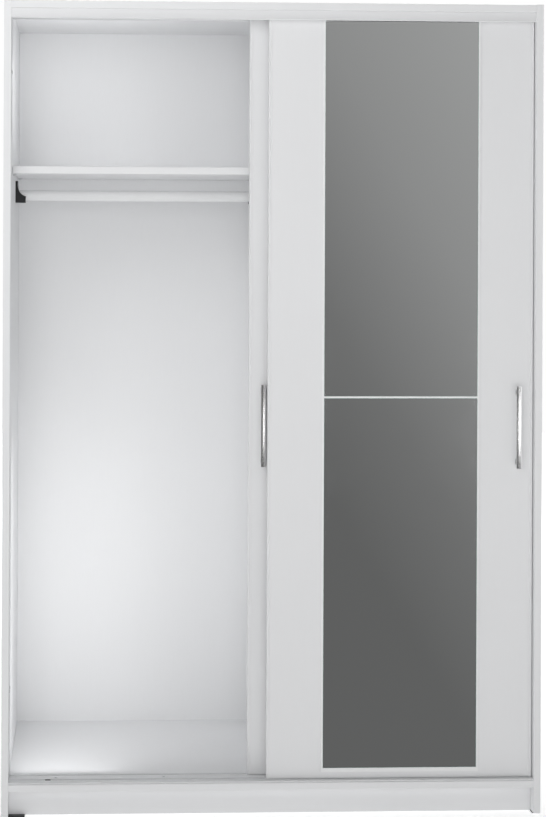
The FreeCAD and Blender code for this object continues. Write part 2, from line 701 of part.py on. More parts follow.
def rollerHousings(label, rollers, back, plane):
    # Blocks let into the door, each with a tab for two screws and a slot for its roller.
    front = f"({back} - {housingDepth} + housingFit)"
    slot = "rollerWidth / 2 + rollerSlotGap"
    parts = []
    for x in rollers:
        half = "housingWidth / 2 - housingFit"
        top = f"({doorBottom} + housingHeight - housingFit)"
        block = box((f"{x} - ({half})", front, doorBottom),
                    (f"2 * ({half})", minus(back, front), minus(top, doorBottom)))
        tab = box((f"{x} - ({half})", back, doorBottom),
                  (f"2 * ({half})", "housingFlange", "housingHeight + flangeTab"))
        well = box((f"{x} - rollerRadius - rollerWellGap", f"{plane} - ({slot})",
                    f"{doorBottom} - overcut"),
                   ("2 * (rollerRadius + rollerWellGap)", f"2 * ({slot})",
                    f"{rollerAxle} + rollerRadius + rollerWellGap + overcut - {doorBottom}"))
        axle = rod((x, front, rollerAxle), "axleRadius + axleClearance",
                   f"{housingDepth} - axleEndWall", "y")
        screws = [rod((f"{x} + {side} * fittingScrewSpread", back,
                       f"{doorBottom} + housingHeight + flangeTab / 2"),
                      "screwRadius + screwClearance", "housingFlange", "y") for side in (-1, 1)]
        parts.append(cut(fuse([block, tab]), [well, axle] + screws))
    group(label, parts)


def guideHousings(label, guides, back, plane):
    # Blocks at the door's head with a well for the sprung guide and a window for its tab.
    front = f"({back} - {housingDepth} + housingFit)"
    parts = []
    for x in guides:
        half = "guideWidth / 2 - housingFit"
        low = f"({doorTop} - guideHeight + housingFit)"
        block = box((f"{x} - ({half})", front, low),
                    (f"2 * ({half})", minus(back, front), minus(doorTop, low)))
        tab = box((f"{x} - ({half})", back, f"{doorTop} - guideHeight - flangeTab"),
                  (f"2 * ({half})", "housingFlange", "guideHeight + flangeTab"))
        wide = "plungerWidth / 2 + plungerFit"
        deep = "plungerThickness / 2 + plungerFit"
        well = box((f"{x} - ({wide})", f"{plane} - ({deep})",
                    f"{doorTop} - plungerLength - plungerWellGap"),
                   (f"2 * ({wide})", f"2 * ({deep})", "plungerLength + plungerWellGap + overcut"))
        window = box((f"{x} - tabWidth / 2 - plungerFit", plane,
                      f"{doorTop} - tabDrop - tabHeight - plungerTravel - plungerWellGap"),
                     ("tabWidth + 2 * plungerFit", "doorThickness",
                      "tabHeight + plungerTravel + plungerWellGap + plungerFit"))
        screws = [rod((f"{x} + {side} * fittingScrewSpread", back,
                       f"{doorTop} - guideHeight - flangeTab / 2"),
                      "screwRadius + screwClearance", "housingFlange", "y") for side in (-1, 1)]
        parts.append(cut(fuse([block, tab]), [well, window] + screws))
    group(label, parts)


def rollerWheel(label, centre):
    # A moulded roller with stub axles, drawn from its own centre.
    wheel = Piece(label, centre, own=True)
    hub = ("0", "0", "0")
    wheel.pad("y", "-rollerWidth / 2", "rollerWidth / 2", circles=[(hub, "rollerRadius")])
    wheel.edges("Chamfer", "rollerArris")
    wheel.pad("y", "-rollerWidth / 2 - rollerSlotGap - axleFrontStub",
              "rollerWidth / 2 + rollerSlotGap + axleRearStub",
              circles=[(hub, "axleRadius")])


def topGuide(label, head):
    # A flat sprung tongue that runs between the guide ribs, with a thumb tab behind.
    guide = Piece(label, head, own=True)
    half = ("plungerWidth / 2", "plungerThickness / 2")
    guide.pad("z", "plungerRise - plungerLength", "plungerRise",
              rectangles=[((f"-{half[0]}", f"-{half[1]}", "0"), half + ("0",))])
    guide.edges("Chamfer", "plungerArris")
    guide.pad("y", "0", "doorThickness / 2 + housingFlange + tabProud", rectangles=[
        (("-tabWidth / 2", "0", "-tabDrop - tabHeight"), ("tabWidth / 2", "0", "-tabDrop"))])


def box(corner, size):
    solid = document.addObject("Part::Box", "block")
    for side, length in zip(("Length", "Width", "Height"), size):
        solid.setExpression(side, bound(length))
    place(solid, corner)
    return solid


turns = {"z": Rotation(), "-z": Rotation(Vector(1, 0, 0), 180), "y": Rotation(Vector(1, 0, 0), -90),
         "-y": Rotation(Vector(1, 0, 0), 90), "x": Rotation(Vector(0, 1, 0), 90),
         "-x": Rotation(Vector(0, 1, 0), -90)}


def rod(corner, radius, length, direction):
    solid = document.addObject("Part::Cylinder", "rod")
    solid.setExpression("Radius", bound(radius))
    solid.setExpression("Height", bound(length))
    place(solid, corner, turns[direction])
    return solid


def fuse(parts):
    joined = document.addObject("Part::MultiFuse", "joined")
    joined.Shapes = parts
    joined.Refine = True
    return joined


def cut(base, tools):
    result = document.addObject("Part::Cut", "cut")
    result.Base = base
    result.Tool = fuse(tools) if len(tools) > 1 else tools[0]
    return result


def copyOf(fastener, point, direction):
    twin = document.addObject("App::Link", "copy")
    twin.LinkedObject = fastener
    twin.LinkTransform = True
    place(twin, point, turns[direction])
    return twin


def group(label, members):
    # Separate solids that share one node.
    bundle = document.addObject("Part::Compound", label)
    bundle.Label = label
    bundle.Links = members
    nodes.append(bundle)


def ownRod(start, radius, length):
    solid = document.addObject("Part::Cylinder", "rod")
    solid.setExpression("Radius", bound(radius))
    solid.setExpression("Height", bound(length))
    solid.setExpression("Placement.Base.z", bound(start))
    return solid


def ownBox(low, size):
    solid = document.addObject("Part::Box", "block")
    for side, length in zip(("Length", "Width", "Height"), size):
        solid.setExpression(side, bound(length))
    for letter, at in zip("xyz", low):
        solid.setExpression(f"Placement.Base.{letter}", bound(at))
    return solid


def crossRecess(reach, width, depth):
    # Two crossed slots, cut upwards from the origin.
    return [ownBox((f"-{a} / 2", f"-{b} / 2", "-overcut"), (a, b, f"{depth} + overcut"))
            for a, b in ((reach, width), (width, reach))]


def screw(shank, head, recess):
    # Its head's outer face is at the origin and the shank runs up from it.
    return cut(fuse([ownRod("0", *head), ownRod("0", *shank)]), crossRecess(*recess))


boardScrew = screw(("screwRadius", "screwLength"), ("screwHeadRadius", "screwHeadHeight"),
                   ("recessReach", "recessWidth", "recessDepth"))
machineScrew = screw(("machineScrewRadius", "machineScrewLength - screwTipGap"),
                     ("machineHeadRadius", "machineHeadHeight"),
                     ("machineRecessReach", "machineRecessWidth", "machineRecessDepth"))
dowel = ownRod("slideGap - dowelShallow", "dowelRadius - dowelClearance", "dowelLength - slideGap")
camBolt = fuse([ownRod("slideGap - dowelShallow", "camThreadRadius", "dowelShallow"),
                ownRod("0", "camBoltRadius", "camInset - camRadius - camClearance")])
camLock = cut(ownRod("camSink", "camRadius - camClearance", "camDepth - camSink"),
              crossRecess("camRadius", "camSlotWidth", "camSlotDepth"))
support = fuse([ownRod("slideGap - supportHoleDepth", "supportRadius - dowelClearance", "supportHoleDepth"),
                ownBox(("-supportHeight / 2", "-supportWidth / 2", "0"),
                       ("supportHeight", "supportWidth", "supportReach"))])


def fasteners():
    pins = [copyOf(dowel, p, "x") for p in sideJoints("dowel", innerLeft) + plinthEnds(innerLeft)]
    pins += [copyOf(dowel, p, "-x") for p in sideJoints("dowel", innerRight) + plinthEnds(innerRight)]
    pins += [copyOf(dowel, (middle, y, bottomTop), "z") for y in partitionRows["dowel"]]
    pins += [copyOf(dowel, (middle, y, topUnder), "-z") for y in partitionRows["dowel"]]
    pins += [copyOf(dowel, (x, y, "plinthTop"), "-z") for x in plinthColumns for y in plinthRows]
    group("dowels", pins)
    bolts = [copyOf(camBolt, p, "x") for p in sideJoints("cam", innerLeft)]
    bolts += [copyOf(camBolt, p, "-x") for p in sideJoints("cam", innerRight)]
    bolts += [copyOf(camBolt, (middle, y, bottomTop), "z") for y in partitionRows["cam"]]
    bolts += [copyOf(camBolt, (middle, y, topUnder), "-z") for y in partitionRows["cam"]]
    group("cam_bolts", bolts)
    columns = (f"({innerLeft} + camInset)", f"({innerRight} - camInset)")
    locks = [copyOf(camLock, (x, y, topAbove), "-z") for x in columns for y in sideRows["cam"]]
    locks += [copyOf(camLock, (x, y, "plinthTop"), "z") for x in columns for y in sideRows["cam"]]
    levels = (f"({bottomTop} + camInset)", f"({topUnder} - camInset)")
    locks += [copyOf(camLock, (partitionRight, y, z), "-x") for y in partitionRows["cam"] for z in levels]
    group("cam_locks", locks)
    pegs = [copyOf(support, p, "x") for p in supportPoints(innerLeft, shelfTops[3:])]
    pegs += [copyOf(support, p, "-x") for p in supportPoints(partitionLeft, shelfTops[3:])]
    pegs += [copyOf(support, p, "x") for p in supportPoints(partitionRight, shelfTops)]
    pegs += [copyOf(support, p, "-x") for p in supportPoints(innerRight, shelfTops)]
    group("shelf_supports", pegs)
    screws = [copyOf(boardScrew, (f"({innerLeft} + bracketPlate + screwHeadHeight)", y, z), "-x")
              for x, y, z in bracketScrews(innerLeft)]
    screws += [copyOf(boardScrew, (f"({partitionLeft} - bracketPlate - screwHeadHeight)", y, z), "x")
               for x, y, z in bracketScrews(partitionLeft)]
    group("rail_bracket_screws", screws)
    heads = [copyOf(boardScrew, (x, y, f"({z} - screwHeadHeight)"), "z") for x, y, z in headScrews]
    group("track_screws", heads + [copyOf(boardScrew, p, "-z") for p in sillScrews])


def wallBrackets():
    # Angles in the recess behind the back, screwed up into the top and out to a wall.
    rear = "(overallDepth - wallBracketThickness)"
    front = "(overallDepth - wallBracketReach)"
    for side, x, fixing in zip(("left", "right"), wallBracketColumns, wallScrews):
        left, right = f"({x} - wallBracketWidth / 2)", f"({x} + wallBracketWidth / 2)"
        angle = Piece(f"wall_bracket_{side}", (left, front, topUnder))
        angle.pad("z", f"{topUnder} - wallBracketThickness", topUnder,
                  rectangles=[((left, front, "0"), (right, "overallDepth", "0"))])
        angle.pad("z", f"{topUnder} - wallBracketHeight", f"{topUnder} - wallBracketThickness",
                  rectangles=[((left, rear, "0"), (right, "overallDepth", "0"))])
        angle.pocket("z", f"{topUnder} - wallBracketThickness", "wallBracketThickness", 1,
                     circles=[(fixing, "screwRadius + screwClearance")])
        angle.pocket("y", rear, "wallBracketThickness", 1,
                     circles=[((x, "0", f"{topUnder} - wallHoleDrop"), "wallHoleRadius")])
    group("wall_bracket_screws", [copyOf(boardScrew, (x, y, f"({z} - screwHeadHeight)"), "z")
                                  for x, y, z in wallScrews])


def stops():
    # Soft dots where the doors meet the sides, and blocks in the grooves that keep handles in reach.
    dots = []
    for plane in (frontPlane, rearPlane):
        for z in (f"({bottomTop} + bumperRise)", f"({topUnder} - bumperDrop)"):
            dots.append(rod((innerLeft, plane, z), "bumperRadius", "bumperThickness", "x"))
            dots.append(rod((innerRight, plane, z), "bumperRadius", "bumperThickness", "-x"))
    group("door_bumpers", dots)
    reach = "(rollerRadius + rollerGap)"
    ends = ((f"({closedRight} + rollerInset - {doorTravel} - {reach} - stopLength)", frontPlane),
            (f"({openRight} + {doorWidth} - rollerInset + {reach})", rearPlane))
    group("track_stops", [box((x, f"({plane} - sillGrooveWidth / 2 + slideGap)", sillFloor),
                              ("stopLength", "sillGrooveWidth - 2 * slideGap", "sillGrooveDepth"))
                          for x, plane in ends])


def checkDocument():
    # A failed feature does not raise, so each state, shape, pocket and pad is looked at here.
    document.recompute()
    for item in document.Objects:
        if "Invalid" in item.State or "Error" in item.State:
            raise RuntimeError(f"{item.Label} failed: {item.State}")
        if item.TypeId in ("PartDesign::Pocket", "PartDesign::Pad") and item.BaseFeature:
            change = item.Shape.Volume - item.BaseFeature.Shape.Volume
            if change * (1 if item.TypeId.endswith("Pad") else -1) <= 0:
                owner = item.getParentGeoFeatureGroup().Label
                raise RuntimeError(f"{item.Name} of {owner} changes nothing")
    for node in nodes:
        if node.Shape.isNull() or not node.Shape.isValid():
            raise RuntimeError(f"{node.Label} has no valid shape")


carcass()
backs()
shelves()
rail()
topTrack()
bottomTrack()
glides()
door("front", closedRight, "doorSetback", 1)
door("rear", openRight, f"(doorSetback + {doorPitch})", -1)
mirror()
fasteners()
wallBrackets()
stops()
checkDocument()
os.makedirs("parts", exist_ok=True)
for node in nodes:
    node.Shape.exportStep(os.path.join("parts", f"{node.Label}.step"))
    print(node.Label, len(node.Shape.Solids), round(node.Shape.Volume / 1000, 2), "cm3")
print(len(nodes), "nodes")
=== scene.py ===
import math

import bmesh
import bpy
from mathutils import Euler, Matrix, Vector


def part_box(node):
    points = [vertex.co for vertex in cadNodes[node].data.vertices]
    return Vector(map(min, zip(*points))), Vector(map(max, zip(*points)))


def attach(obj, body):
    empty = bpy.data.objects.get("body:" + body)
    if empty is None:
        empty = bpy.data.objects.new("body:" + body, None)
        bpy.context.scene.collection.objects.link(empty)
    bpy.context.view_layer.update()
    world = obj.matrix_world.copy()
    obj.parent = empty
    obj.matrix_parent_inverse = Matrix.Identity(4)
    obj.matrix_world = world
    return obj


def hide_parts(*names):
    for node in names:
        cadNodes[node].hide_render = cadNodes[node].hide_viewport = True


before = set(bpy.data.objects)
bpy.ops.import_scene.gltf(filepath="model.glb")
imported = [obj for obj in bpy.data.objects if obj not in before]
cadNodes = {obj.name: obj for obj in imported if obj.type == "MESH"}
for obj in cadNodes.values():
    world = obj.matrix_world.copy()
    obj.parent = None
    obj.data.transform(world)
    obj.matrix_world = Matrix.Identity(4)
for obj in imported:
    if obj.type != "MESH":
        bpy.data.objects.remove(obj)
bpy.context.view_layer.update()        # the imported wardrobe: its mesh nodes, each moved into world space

mm = 0.001
doorNames = ("front", "rear")
print("frame loaded:", len(cadNodes), "nodes")


def startFinish(name, colour, roughness, metallic=0.0):
    # A material with one principled shader and its Object coordinates.
    finish = bpy.data.materials.new(name)
    finish.use_nodes = True
    tree = finish.node_tree
    shader = tree.nodes["Principled BSDF"]
    shader.inputs["Base Color"].default_value = (*colour, 1)
    shader.inputs["Roughness"].default_value = roughness
    shader.inputs["Metallic"].default_value = metallic
    place = tree.nodes.new("ShaderNodeTexCoord").outputs["Object"]
    return finish, tree, shader, place


def stretch(tree, vector, scale):
    mapping = tree.nodes.new("ShaderNodeMapping")
    mapping.inputs["Scale"].default_value = scale
    tree.links.new(vector, mapping.inputs["Vector"])
    return mapping.outputs["Vector"]


def noise(tree, vector, size, detail=2.0, harshness=0.5):
    # size is the width of one patch in metres, for coordinates in metres.
    node = tree.nodes.new("ShaderNodeTexNoise")
    node.inputs["Scale"].default_value = 1 / size
    node.inputs["Detail"].default_value = detail
    node.inputs["Roughness"].default_value = harshness
    tree.links.new(vector, node.inputs["Vector"])
    return node.outputs["Fac"]


def cells(tree, vector, size):
    node = tree.nodes.new("ShaderNodeTexVoronoi")
    node.inputs["Scale"].default_value = 1 / size
    tree.links.new(vector, node.inputs["Vector"])
    return node


def part(tree, vector, axis):
    split = tree.nodes.new("ShaderNodeSeparateXYZ")
    tree.links.new(vector, split.inputs["Vector"])
    return split.outputs[axis]


def remap(tree, value, fromLow, fromHigh, toLow, toHigh):
    node = tree.nodes.new("ShaderNodeMapRange")
    limits = {"From Min": fromLow, "From Max": fromHigh, "To Min": toLow, "To Max": toHigh}
    for socket, number in limits.items():
        node.inputs[socket].default_value = number
    tree.links.new(value, node.inputs["Value"])
    return node.outputs["Result"]


noiseLow, noiseHigh = 0.3, 0.7      # nearly all of a noise pattern lies between these


def fullRange(tree, pattern, toLow=0, toHigh=1):
    return remap(tree, pattern, noiseLow, noiseHigh, toLow, toHigh)


def arithmetic(tree, operation, first, second):
    node = tree.nodes.new("ShaderNodeMath")
    node.operation = operation
    for socket, value in zip(node.inputs, (first, second)):
        if isinstance(value, (int, float)):
            socket.default_value = value
        else:
            tree.links.new(value, socket)
    return node.outputs["Value"]


def times(tree, first, second):
    return arithmetic(tree, "MULTIPLY", first, second)


def blendColours(tree, factor, first, second):
    node = tree.nodes.new("ShaderNodeMix")
    node.data_type = "RGBA"
    tree.links.new(factor, node.inputs["Factor"])
    for socket, colour in ((node.inputs[6], first), (node.inputs[7], second)):
        if isinstance(colour, tuple):
            socket.default_value = (*colour, 1)
        else:
            tree.links.new(colour, socket)
    return node.outputs[2]


def shade(colour, factor):
    return tuple(channel * factor for channel in colour)


def paint(tree, shader, colour):
    tree.links.new(colour, shader.inputs["Base Color"])


def roughen(tree, shader, roughness):
    tree.links.new(roughness, shader.inputs["Roughness"])


def relief(tree, shader, height, strength, depth):
    # Bump whose full height is depth metres.
    bump = tree.nodes.new("ShaderNodeBump")
    bump.inputs["Strength"].default_value = strength
    bump.inputs["Distance"].default_value = depth
    tree.links.new(height, bump.inputs["Height"])
    tree.links.new(bump.outputs["Normal"], shader.inputs["Normal"])
    return bump


boardLook = {
    "colour": (0.87, 0.875, 0.885),   # cool white decor paper
    "roughness": 0.42,
    "glossSize": 0.012,               # patches a little glossier or duller than the rest
    "glossWander": (-0.03, 0.05),
    "poreWidth": 0.0009,              # pressed pores, metres across the grain
    "poreLength": 0.045,
    "poreDepth": 0.00005,
    "poreTone": 0.988,
    "cloudSize": 0.35,                # broad unevenness of the print
    "cloudShare": 0.018,
    "bandThickness": 0.0008,          # plastic edge band on the front edges
    "bandTone": 1.02,
    "glueLine": 0.00025,
    "glueTone": 0.72,
    "chipColours": ((0.36, 0.24, 0.13), (0.62, 0.47, 0.30)),
    "chipSize": 0.0032,
    "rawDepth": 0.15 * mm,            # how deep the bare rear edge reaches
}


def boardFinish(name, node, grain="z", banded=True, rawRear=False):
    # White coated board. grain is the way its pores run; the front edge has a band, and a hidden
    # rear edge shows the bare chipboard.
    look = boardLook
    finish, tree, shader, place = startFinish(name, look["colour"], look["roughness"])
    across, along = 1 / look["poreWidth"], 1 / look["poreLength"]
    poreScale = [along if axis == grain else across for axis in "xyz"]
    pores = noise(tree, stretch(tree, place, poreScale), 1, 3, 0.6)
    clouds = noise(tree, place, look["cloudSize"], 2)
    tone = fullRange(tree, clouds, 1 - look["cloudShare"], 1)
    tone = times(tree, tone, remap(tree, pores, 0.35, 0.65, look["poreTone"], 1))
    low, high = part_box(node)
    depth = part(tree, place, "Y")
    if banded:
        bandEnd = low.y + look["bandThickness"]
        inBand = arithmetic(tree, "LESS_THAN", depth, bandEnd)
        tone = times(tree, tone, remap(tree, inBand, 0, 1, 1, look["bandTone"]))
        fromLine = arithmetic(tree, "ABSOLUTE", arithmetic(tree, "SUBTRACT", depth, bandEnd), 0)
        onLine = arithmetic(tree, "LESS_THAN", fromLine, look["glueLine"] / 2)
        tone = times(tree, tone, remap(tree, onLine, 0, 1, 1, look["glueTone"]))
    colour = blendColours(tree, tone, (0, 0, 0), look["colour"])
    if rawRear:
        chips = cells(tree, stretch(tree, place, (1, 1, 1.6)), look["chipSize"])
        dust = noise(tree, place, look["chipSize"] * 0.6, 3)
        flecks = times(tree, chips.outputs["Distance"], dust)
        bare = blendColours(tree, remap(tree, flecks, 0.05, 0.42, 0, 1), *look["chipColours"])
        atRear = arithmetic(tree, "GREATER_THAN", depth, high.y - look["rawDepth"])
        colour = blendColours(tree, atRear, colour, bare)
    paint(tree, shader, colour)
    gloss = noise(tree, place, look["glossSize"], 2)
    smoothest, dullest = (look["roughness"] + wander for wander in look["glossWander"])
    roughen(tree, shader, fullRange(tree, gloss, smoothest, dullest))
    relief(tree, shader, pores, 0.5, look["poreDepth"])
    return finish


backLook = {
    "face": (0.865, 0.87, 0.88),           # printed foil towards the compartments
    "faceRoughness": 0.46,
    "streakScale": (1 / 0.0012, 1, 1 / 0.06),
    "streakTone": 0.985,
    "streakDepth": 0.35,                   # against the depth of the mat's mark
    "fibre": ((0.25, 0.155, 0.085), (0.40, 0.27, 0.16)),
    "fibreRoughness": 0.78,
    "fibreScale": (1 / 0.004, 1 / 0.004, 1 / 0.0015),
    "meshPitch": 0.0016,                   # the press mat's mark on the bare side
    "meshDepth": 0.00012,
}


def backFinish(node):
    # Thin hardboard: white foil in front, bare brown fibre behind.
    look = backLook
    finish, tree, shader, place = startFinish("back_board", look["face"], 0.5)
    low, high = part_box(node)
    behind = arithmetic(tree, "GREATER_THAN", part(tree, place, "Y"), (low.y + high.y) / 2)
    streaks = noise(tree, stretch(tree, place, look["streakScale"]), 1, 3, 0.6)
    streakColour = shade(look["face"], look["streakTone"])
    foil = blendColours(tree, fullRange(tree, streaks), streakColour, look["face"])
    fibres = noise(tree, stretch(tree, place, look["fibreScale"]), 1, 4, 0.7)
    bare = blendColours(tree, fullRange(tree, fibres), *look["fibre"])
    paint(tree, shader, blendColours(tree, behind, foil, bare))
    turn = 2 * math.pi / look["meshPitch"]
    weave = [arithmetic(tree, "SINE", times(tree, part(tree, place, axis), turn), 0) for axis in "XZ"]
    height = times(tree, behind, times(tree, *weave))
    height = arithmetic(tree, "ADD", height, times(tree, streaks, look["streakDepth"]))
    relief(tree, shader, height, 0.5, look["meshDepth"])
    roughen(tree, shader, remap(tree, behind, 0, 1, look["faceRoughness"], look["fibreRoughness"]))
    return finish


def brushed(name, colour, roughness, metallic, direction, lineWidth=0.00025, depth=0.00001, contrast=0.05):
    # Fine lines drawn along one axis, as extruding or brushing leaves them.
    lineLength = 0.03
    finish, tree, shader, place = startFinish(name, colour, roughness, metallic)
    scale = [1 / lineLength if axis == direction else 1 / lineWidth for axis in "xyz"]
    lines = noise(tree, stretch(tree, place, scale), 1, 3, 0.6)
    paint(tree, shader, blendColours(tree, fullRange(tree, lines), shade(colour, 1 - contrast), colour))
    roughen(tree, shader, fullRange(tree, lines, roughness - 0.04, roughness + 0.08))
    relief(tree, shader, lines, 0.4, depth)
    return finish


def moulded(name, colour, roughness, grainSize=0.0006):
    # Plastic with the fine spark texture of its mould.
    patchSize, mottle, depth = 0.02, 0.04, 0.00003
    finish, tree, shader, place = startFinish(name, colour, roughness)
    grain = noise(tree, place, grainSize, 2)
    patches = noise(tree, place, patchSize, 2)
    paint(tree, shader, blendColours(tree, fullRange(tree, patches), shade(colour, 1 - mottle), colour))
    roughen(tree, shader, fullRange(tree, grain, roughness - 0.05, roughness + 0.07))
    relief(tree, shader, grain, 0.5, depth)
    return finish


zincLook = {
    "colour": (0.72, 0.73, 0.74),
    "spangleColour": (0.62, 0.645, 0.68),
    "spangleSize": 0.0018,
    "markSize": 0.0009,
    "markDepth": 0.00002,
    "roughness": (0.24, 0.46),
}


def zincFinish():
    # Bright zinc plate with its faint blue spangle and a few handling marks.
    look = zincLook
    finish, tree, shader, place = startFinish("zinc_plate", look["colour"], 0.36, 0.8)
    spangle = cells(tree, place, look["spangleSize"]).outputs["Distance"]
    spread = remap(tree, spangle, 0, 0.6, 0, 1)
    paint(tree, shader, blendColours(tree, spread, look["spangleColour"], look["colour"]))
    marks = noise(tree, place, look["markSize"], 4, 0.7)
    roughen(tree, shader, remap(tree, marks, 0.35, 0.7, *look["roughness"]))
    relief(tree, shader, marks, 0.3, look["markDepth"])
    return finish


beechLook = {
    "colours": ((0.66, 0.48, 0.31), (0.48, 0.31, 0.18)),
    "rayScale": (1 / 0.004, 1 / 0.0007, 1 / 0.0007),
    "rayDepth": 0.00005,
    "roughness": 0.6,
}


def beechFinish():
    # Fluted beech pins: warm wood with short dark rays.
    look = beechLook
    finish, tree, shader, place = startFinish("beech", look["colours"][0], look["roughness"])
    rays = noise(tree, stretch(tree, place, look["rayScale"]), 1, 3, 0.7)
    paint(tree, shader, blendColours(tree, remap(tree, rays, 0.35, 0.7, 0, 1), *look["colours"]))
    relief(tree, shader, rays, 0.4, look["rayDepth"])
    return finish


mirrorLook = {
    "silver": (0.90, 0.915, 0.91),
    "haze": (0.02, 0.05),
    "hazeSize": 0.08,
    "waveSize": 0.5,                  # float glass is never quite flat
    "waveDepth": 0.00002,
    "waveTone": 0.985,
    "edge": (0.20, 0.38, 0.33),       # green of the cut glass
    "edgeGlint": 1.5,
    "grindScale": (1 / 0.0004, 1 / 0.0004, 1 / 0.004),
    "grindDepth": 0.00003,
    "arris": 0.0006,                  # the ground corner round the face, across and down
    "arrisDrop": 0.0006,
}


def mirrorFinish():
    look = mirrorLook
    finish, tree, shader, place = startFinish("mirror_silver", look["silver"], 0.03, 1.0)
    waves = noise(tree, place, look["waveSize"], 1)
    dim = shade(look["silver"], look["waveTone"])
    paint(tree, shader, blendColours(tree, fullRange(tree, waves), dim, look["silver"]))
    haze = noise(tree, place, look["hazeSize"], 3)
    roughen(tree, shader, remap(tree, haze, 0.35, 0.75, *look["haze"]))
    relief(tree, shader, waves, 0.3, look["waveDepth"])
    return finish


def glassEdgeFinish():
    look = mirrorLook
    finish, tree, shader, place = startFinish("mirror_edge", look["edge"], 0.18)
    grind = noise(tree, stretch(tree, place, look["grindScale"]), 1, 3)
    glint = shade(look["edge"], look["edgeGlint"])
    paint(tree, shader, blendColours(tree, fullRange(tree, grind), look["edge"], glint))
    relief(tree, shader, grind, 0.5, look["grindDepth"])
    return finish


finishes = {
    "profile": brushed("white_profile", (0.86, 0.865, 0.875), 0.36, 0.0, "z", depth=0.000008, contrast=0.02),
    "track": brushed("track_white", (0.85, 0.855, 0.865), 0.34, 0.0, "x", depth=0.000008, contrast=0.025),
    "trim": brushed("mirror_trim", (0.93, 0.935, 0.94), 0.32, 0.0, "z", contrast=0.015),
    "rail": brushed("rail_lacquer", (0.88, 0.885, 0.89), 0.24, 0.0, "x", depth=0.000005, contrast=0.02),
    "handle": brushed("handle_satin", (0.96, 0.96, 0.965), 0.18, 1.0, "z", lineWidth=0.00018),
    "black": moulded("black_plastic", (0.018, 0.018, 0.02), 0.42),
    "white": moulded("white_plastic", (0.80, 0.80, 0.79), 0.38),
    "roller": moulded("roller_nylon", (0.62, 0.62, 0.59), 0.34, grainSize=0.0004),
    "stop": moulded("soft_stop", (0.70, 0.71, 0.70), 0.25),
    "zinc": zincFinish(),
    "beech": beechFinish(),
    "silver": mirrorFinish(),
    "glassEdge": glassEdgeFinish(),
}


def dress(nodeName, finish):
    # Gives a carried-over CAD node its finish; its mesh stays as it is.
    holder = cadNodes[nodeName]
    holder.data.materials.clear()
    holder.data.materials.append(finish)


uprightBoards = ("left_side_panel", "right_side_panel", "centre_partition")
lyingBoards = ("top_panel", "bottom_panel", "front_plinth", "rear_plinth",
               "upper_shelf_left", "upper_shelf_right",
               "linen_shelf_lower", "linen_shelf_middle", "linen_shelf_upper")
rawRearBoards = ("left_side_panel", "right_side_panel", "top_panel", "bottom_panel")
plainNodes = {
    "white": ["back_joint_strip"],
    "rail": ["hanging_rail"],
    "black": ["rail_bracket_left", "rail_bracket_right", "floor_glides", "track_stops"],
    "track": ["bottom_track"],
    "zinc": ["wall_bracket_left", "wall_bracket_right"],
    "trim": ["mirror_divider", "mirror_left_trim", "mirror_right_trim", "mirror_bottom_trim"],
}
for name in uprightBoards + lyingBoards:
    dress(name, boardFinish(f"board_{name}", name, "z" if name in uprightBoards else "x",
                            banded="plinth" not in name, rawRear=name in rawRearBoards))
for door in doorNames:
    panel = f"{door}_door_panel"
    dress(panel, boardFinish(f"board_{door}_door", panel, "z", banded=False))
    plainNodes["white"] += [f"{door}_guide_left", f"{door}_guide_right",
                            f"{door}_roller_housings", f"{door}_guide_housings"]
backs = backFinish("back_panel_left")
for name in ("back_panel_left", "back_panel_right"):
    dress(name, backs)
for finishName, nodeNames in plainNodes.items():
    for name in nodeNames:
        dress(name, finishes[finishName])
print("finishes made:", len(bpy.data.materials))


def newPiece(name, mesh, *materials):
    piece = bpy.data.objects.new(name, mesh)
    bpy.context.scene.collection.objects.link(piece)
    for material in materials:
        mesh.materials.append(material)
    return piece


def smoothed(mesh, sharpDegrees=32):
    # Smooth faces, with creases left sharp.
    mesh.shade_smooth()
    mesh.set_sharp_from_angle(angle=math.radians(sharpDegrees))
    return mesh


def plainMesh(name, shape):
    mesh = bpy.data.meshes.new(name)
    shape.to_mesh(mesh)
    shape.free()
    return mesh


def lathe(name, profile, steps):
    # Turns an outline of (radius, height) points about the z axis; ends on the axis are closed.
    shape = bmesh.new()
    rings = []
    for radius, height in profile:
        if radius < 1e-9:
            rings.append([shape.verts.new((0, 0, height))])
        else:
            rings.append([shape.verts.new((radius * math.cos(turn), radius * math.sin(turn), height))
                          for turn in (2 * math.pi * step / steps for step in range(steps))])
    for lower, upper in zip(rings, rings[1:]):
        for step in range(steps):
            corners = [lower[step % len(lower)], lower[(step + 1) % len(lower)],
                       upper[(step + 1) % len(upper)], upper[step % len(upper)]]
            shape.faces.new(list(dict.fromkeys(corners)))
    bmesh.ops.recalc_face_normals(shape, faces=shape.faces)
    return plainMesh(name, shape)


def block(low, high, bevel=0.0, segments=3):
    # A closed box between two corners with rounded edges.
    shape = bmesh.new()
    bmesh.ops.create_cube(shape, size=1)
    size = Vector(high) - Vector(low)
    centre = (Vector(high) + Vector(low)) / 2
    toSize = Matrix.Translation(centre) @ Matrix.Diagonal((*size, 1))
    bmesh.ops.transform(shape, matrix=toSize, verts=shape.verts)
    if bevel:
        bmesh.ops.bevel(shape, geom=shape.edges, offset=bevel, segments=segments,
                        affect="EDGES", profile=0.5)
    return shape


def joined(name, shapes):
    whole = bmesh.new()
    for shape in shapes:
        mesh = plainMesh("part", shape)
        whole.from_mesh(mesh)
        bpy.data.meshes.remove(mesh)
    return plainMesh(name, whole)


def finished(piece):
    # The mesh that the piece's modifiers give.
    return bpy.data.meshes.new_from_object(piece.evaluated_get(bpy.context.evaluated_depsgraph_get()))


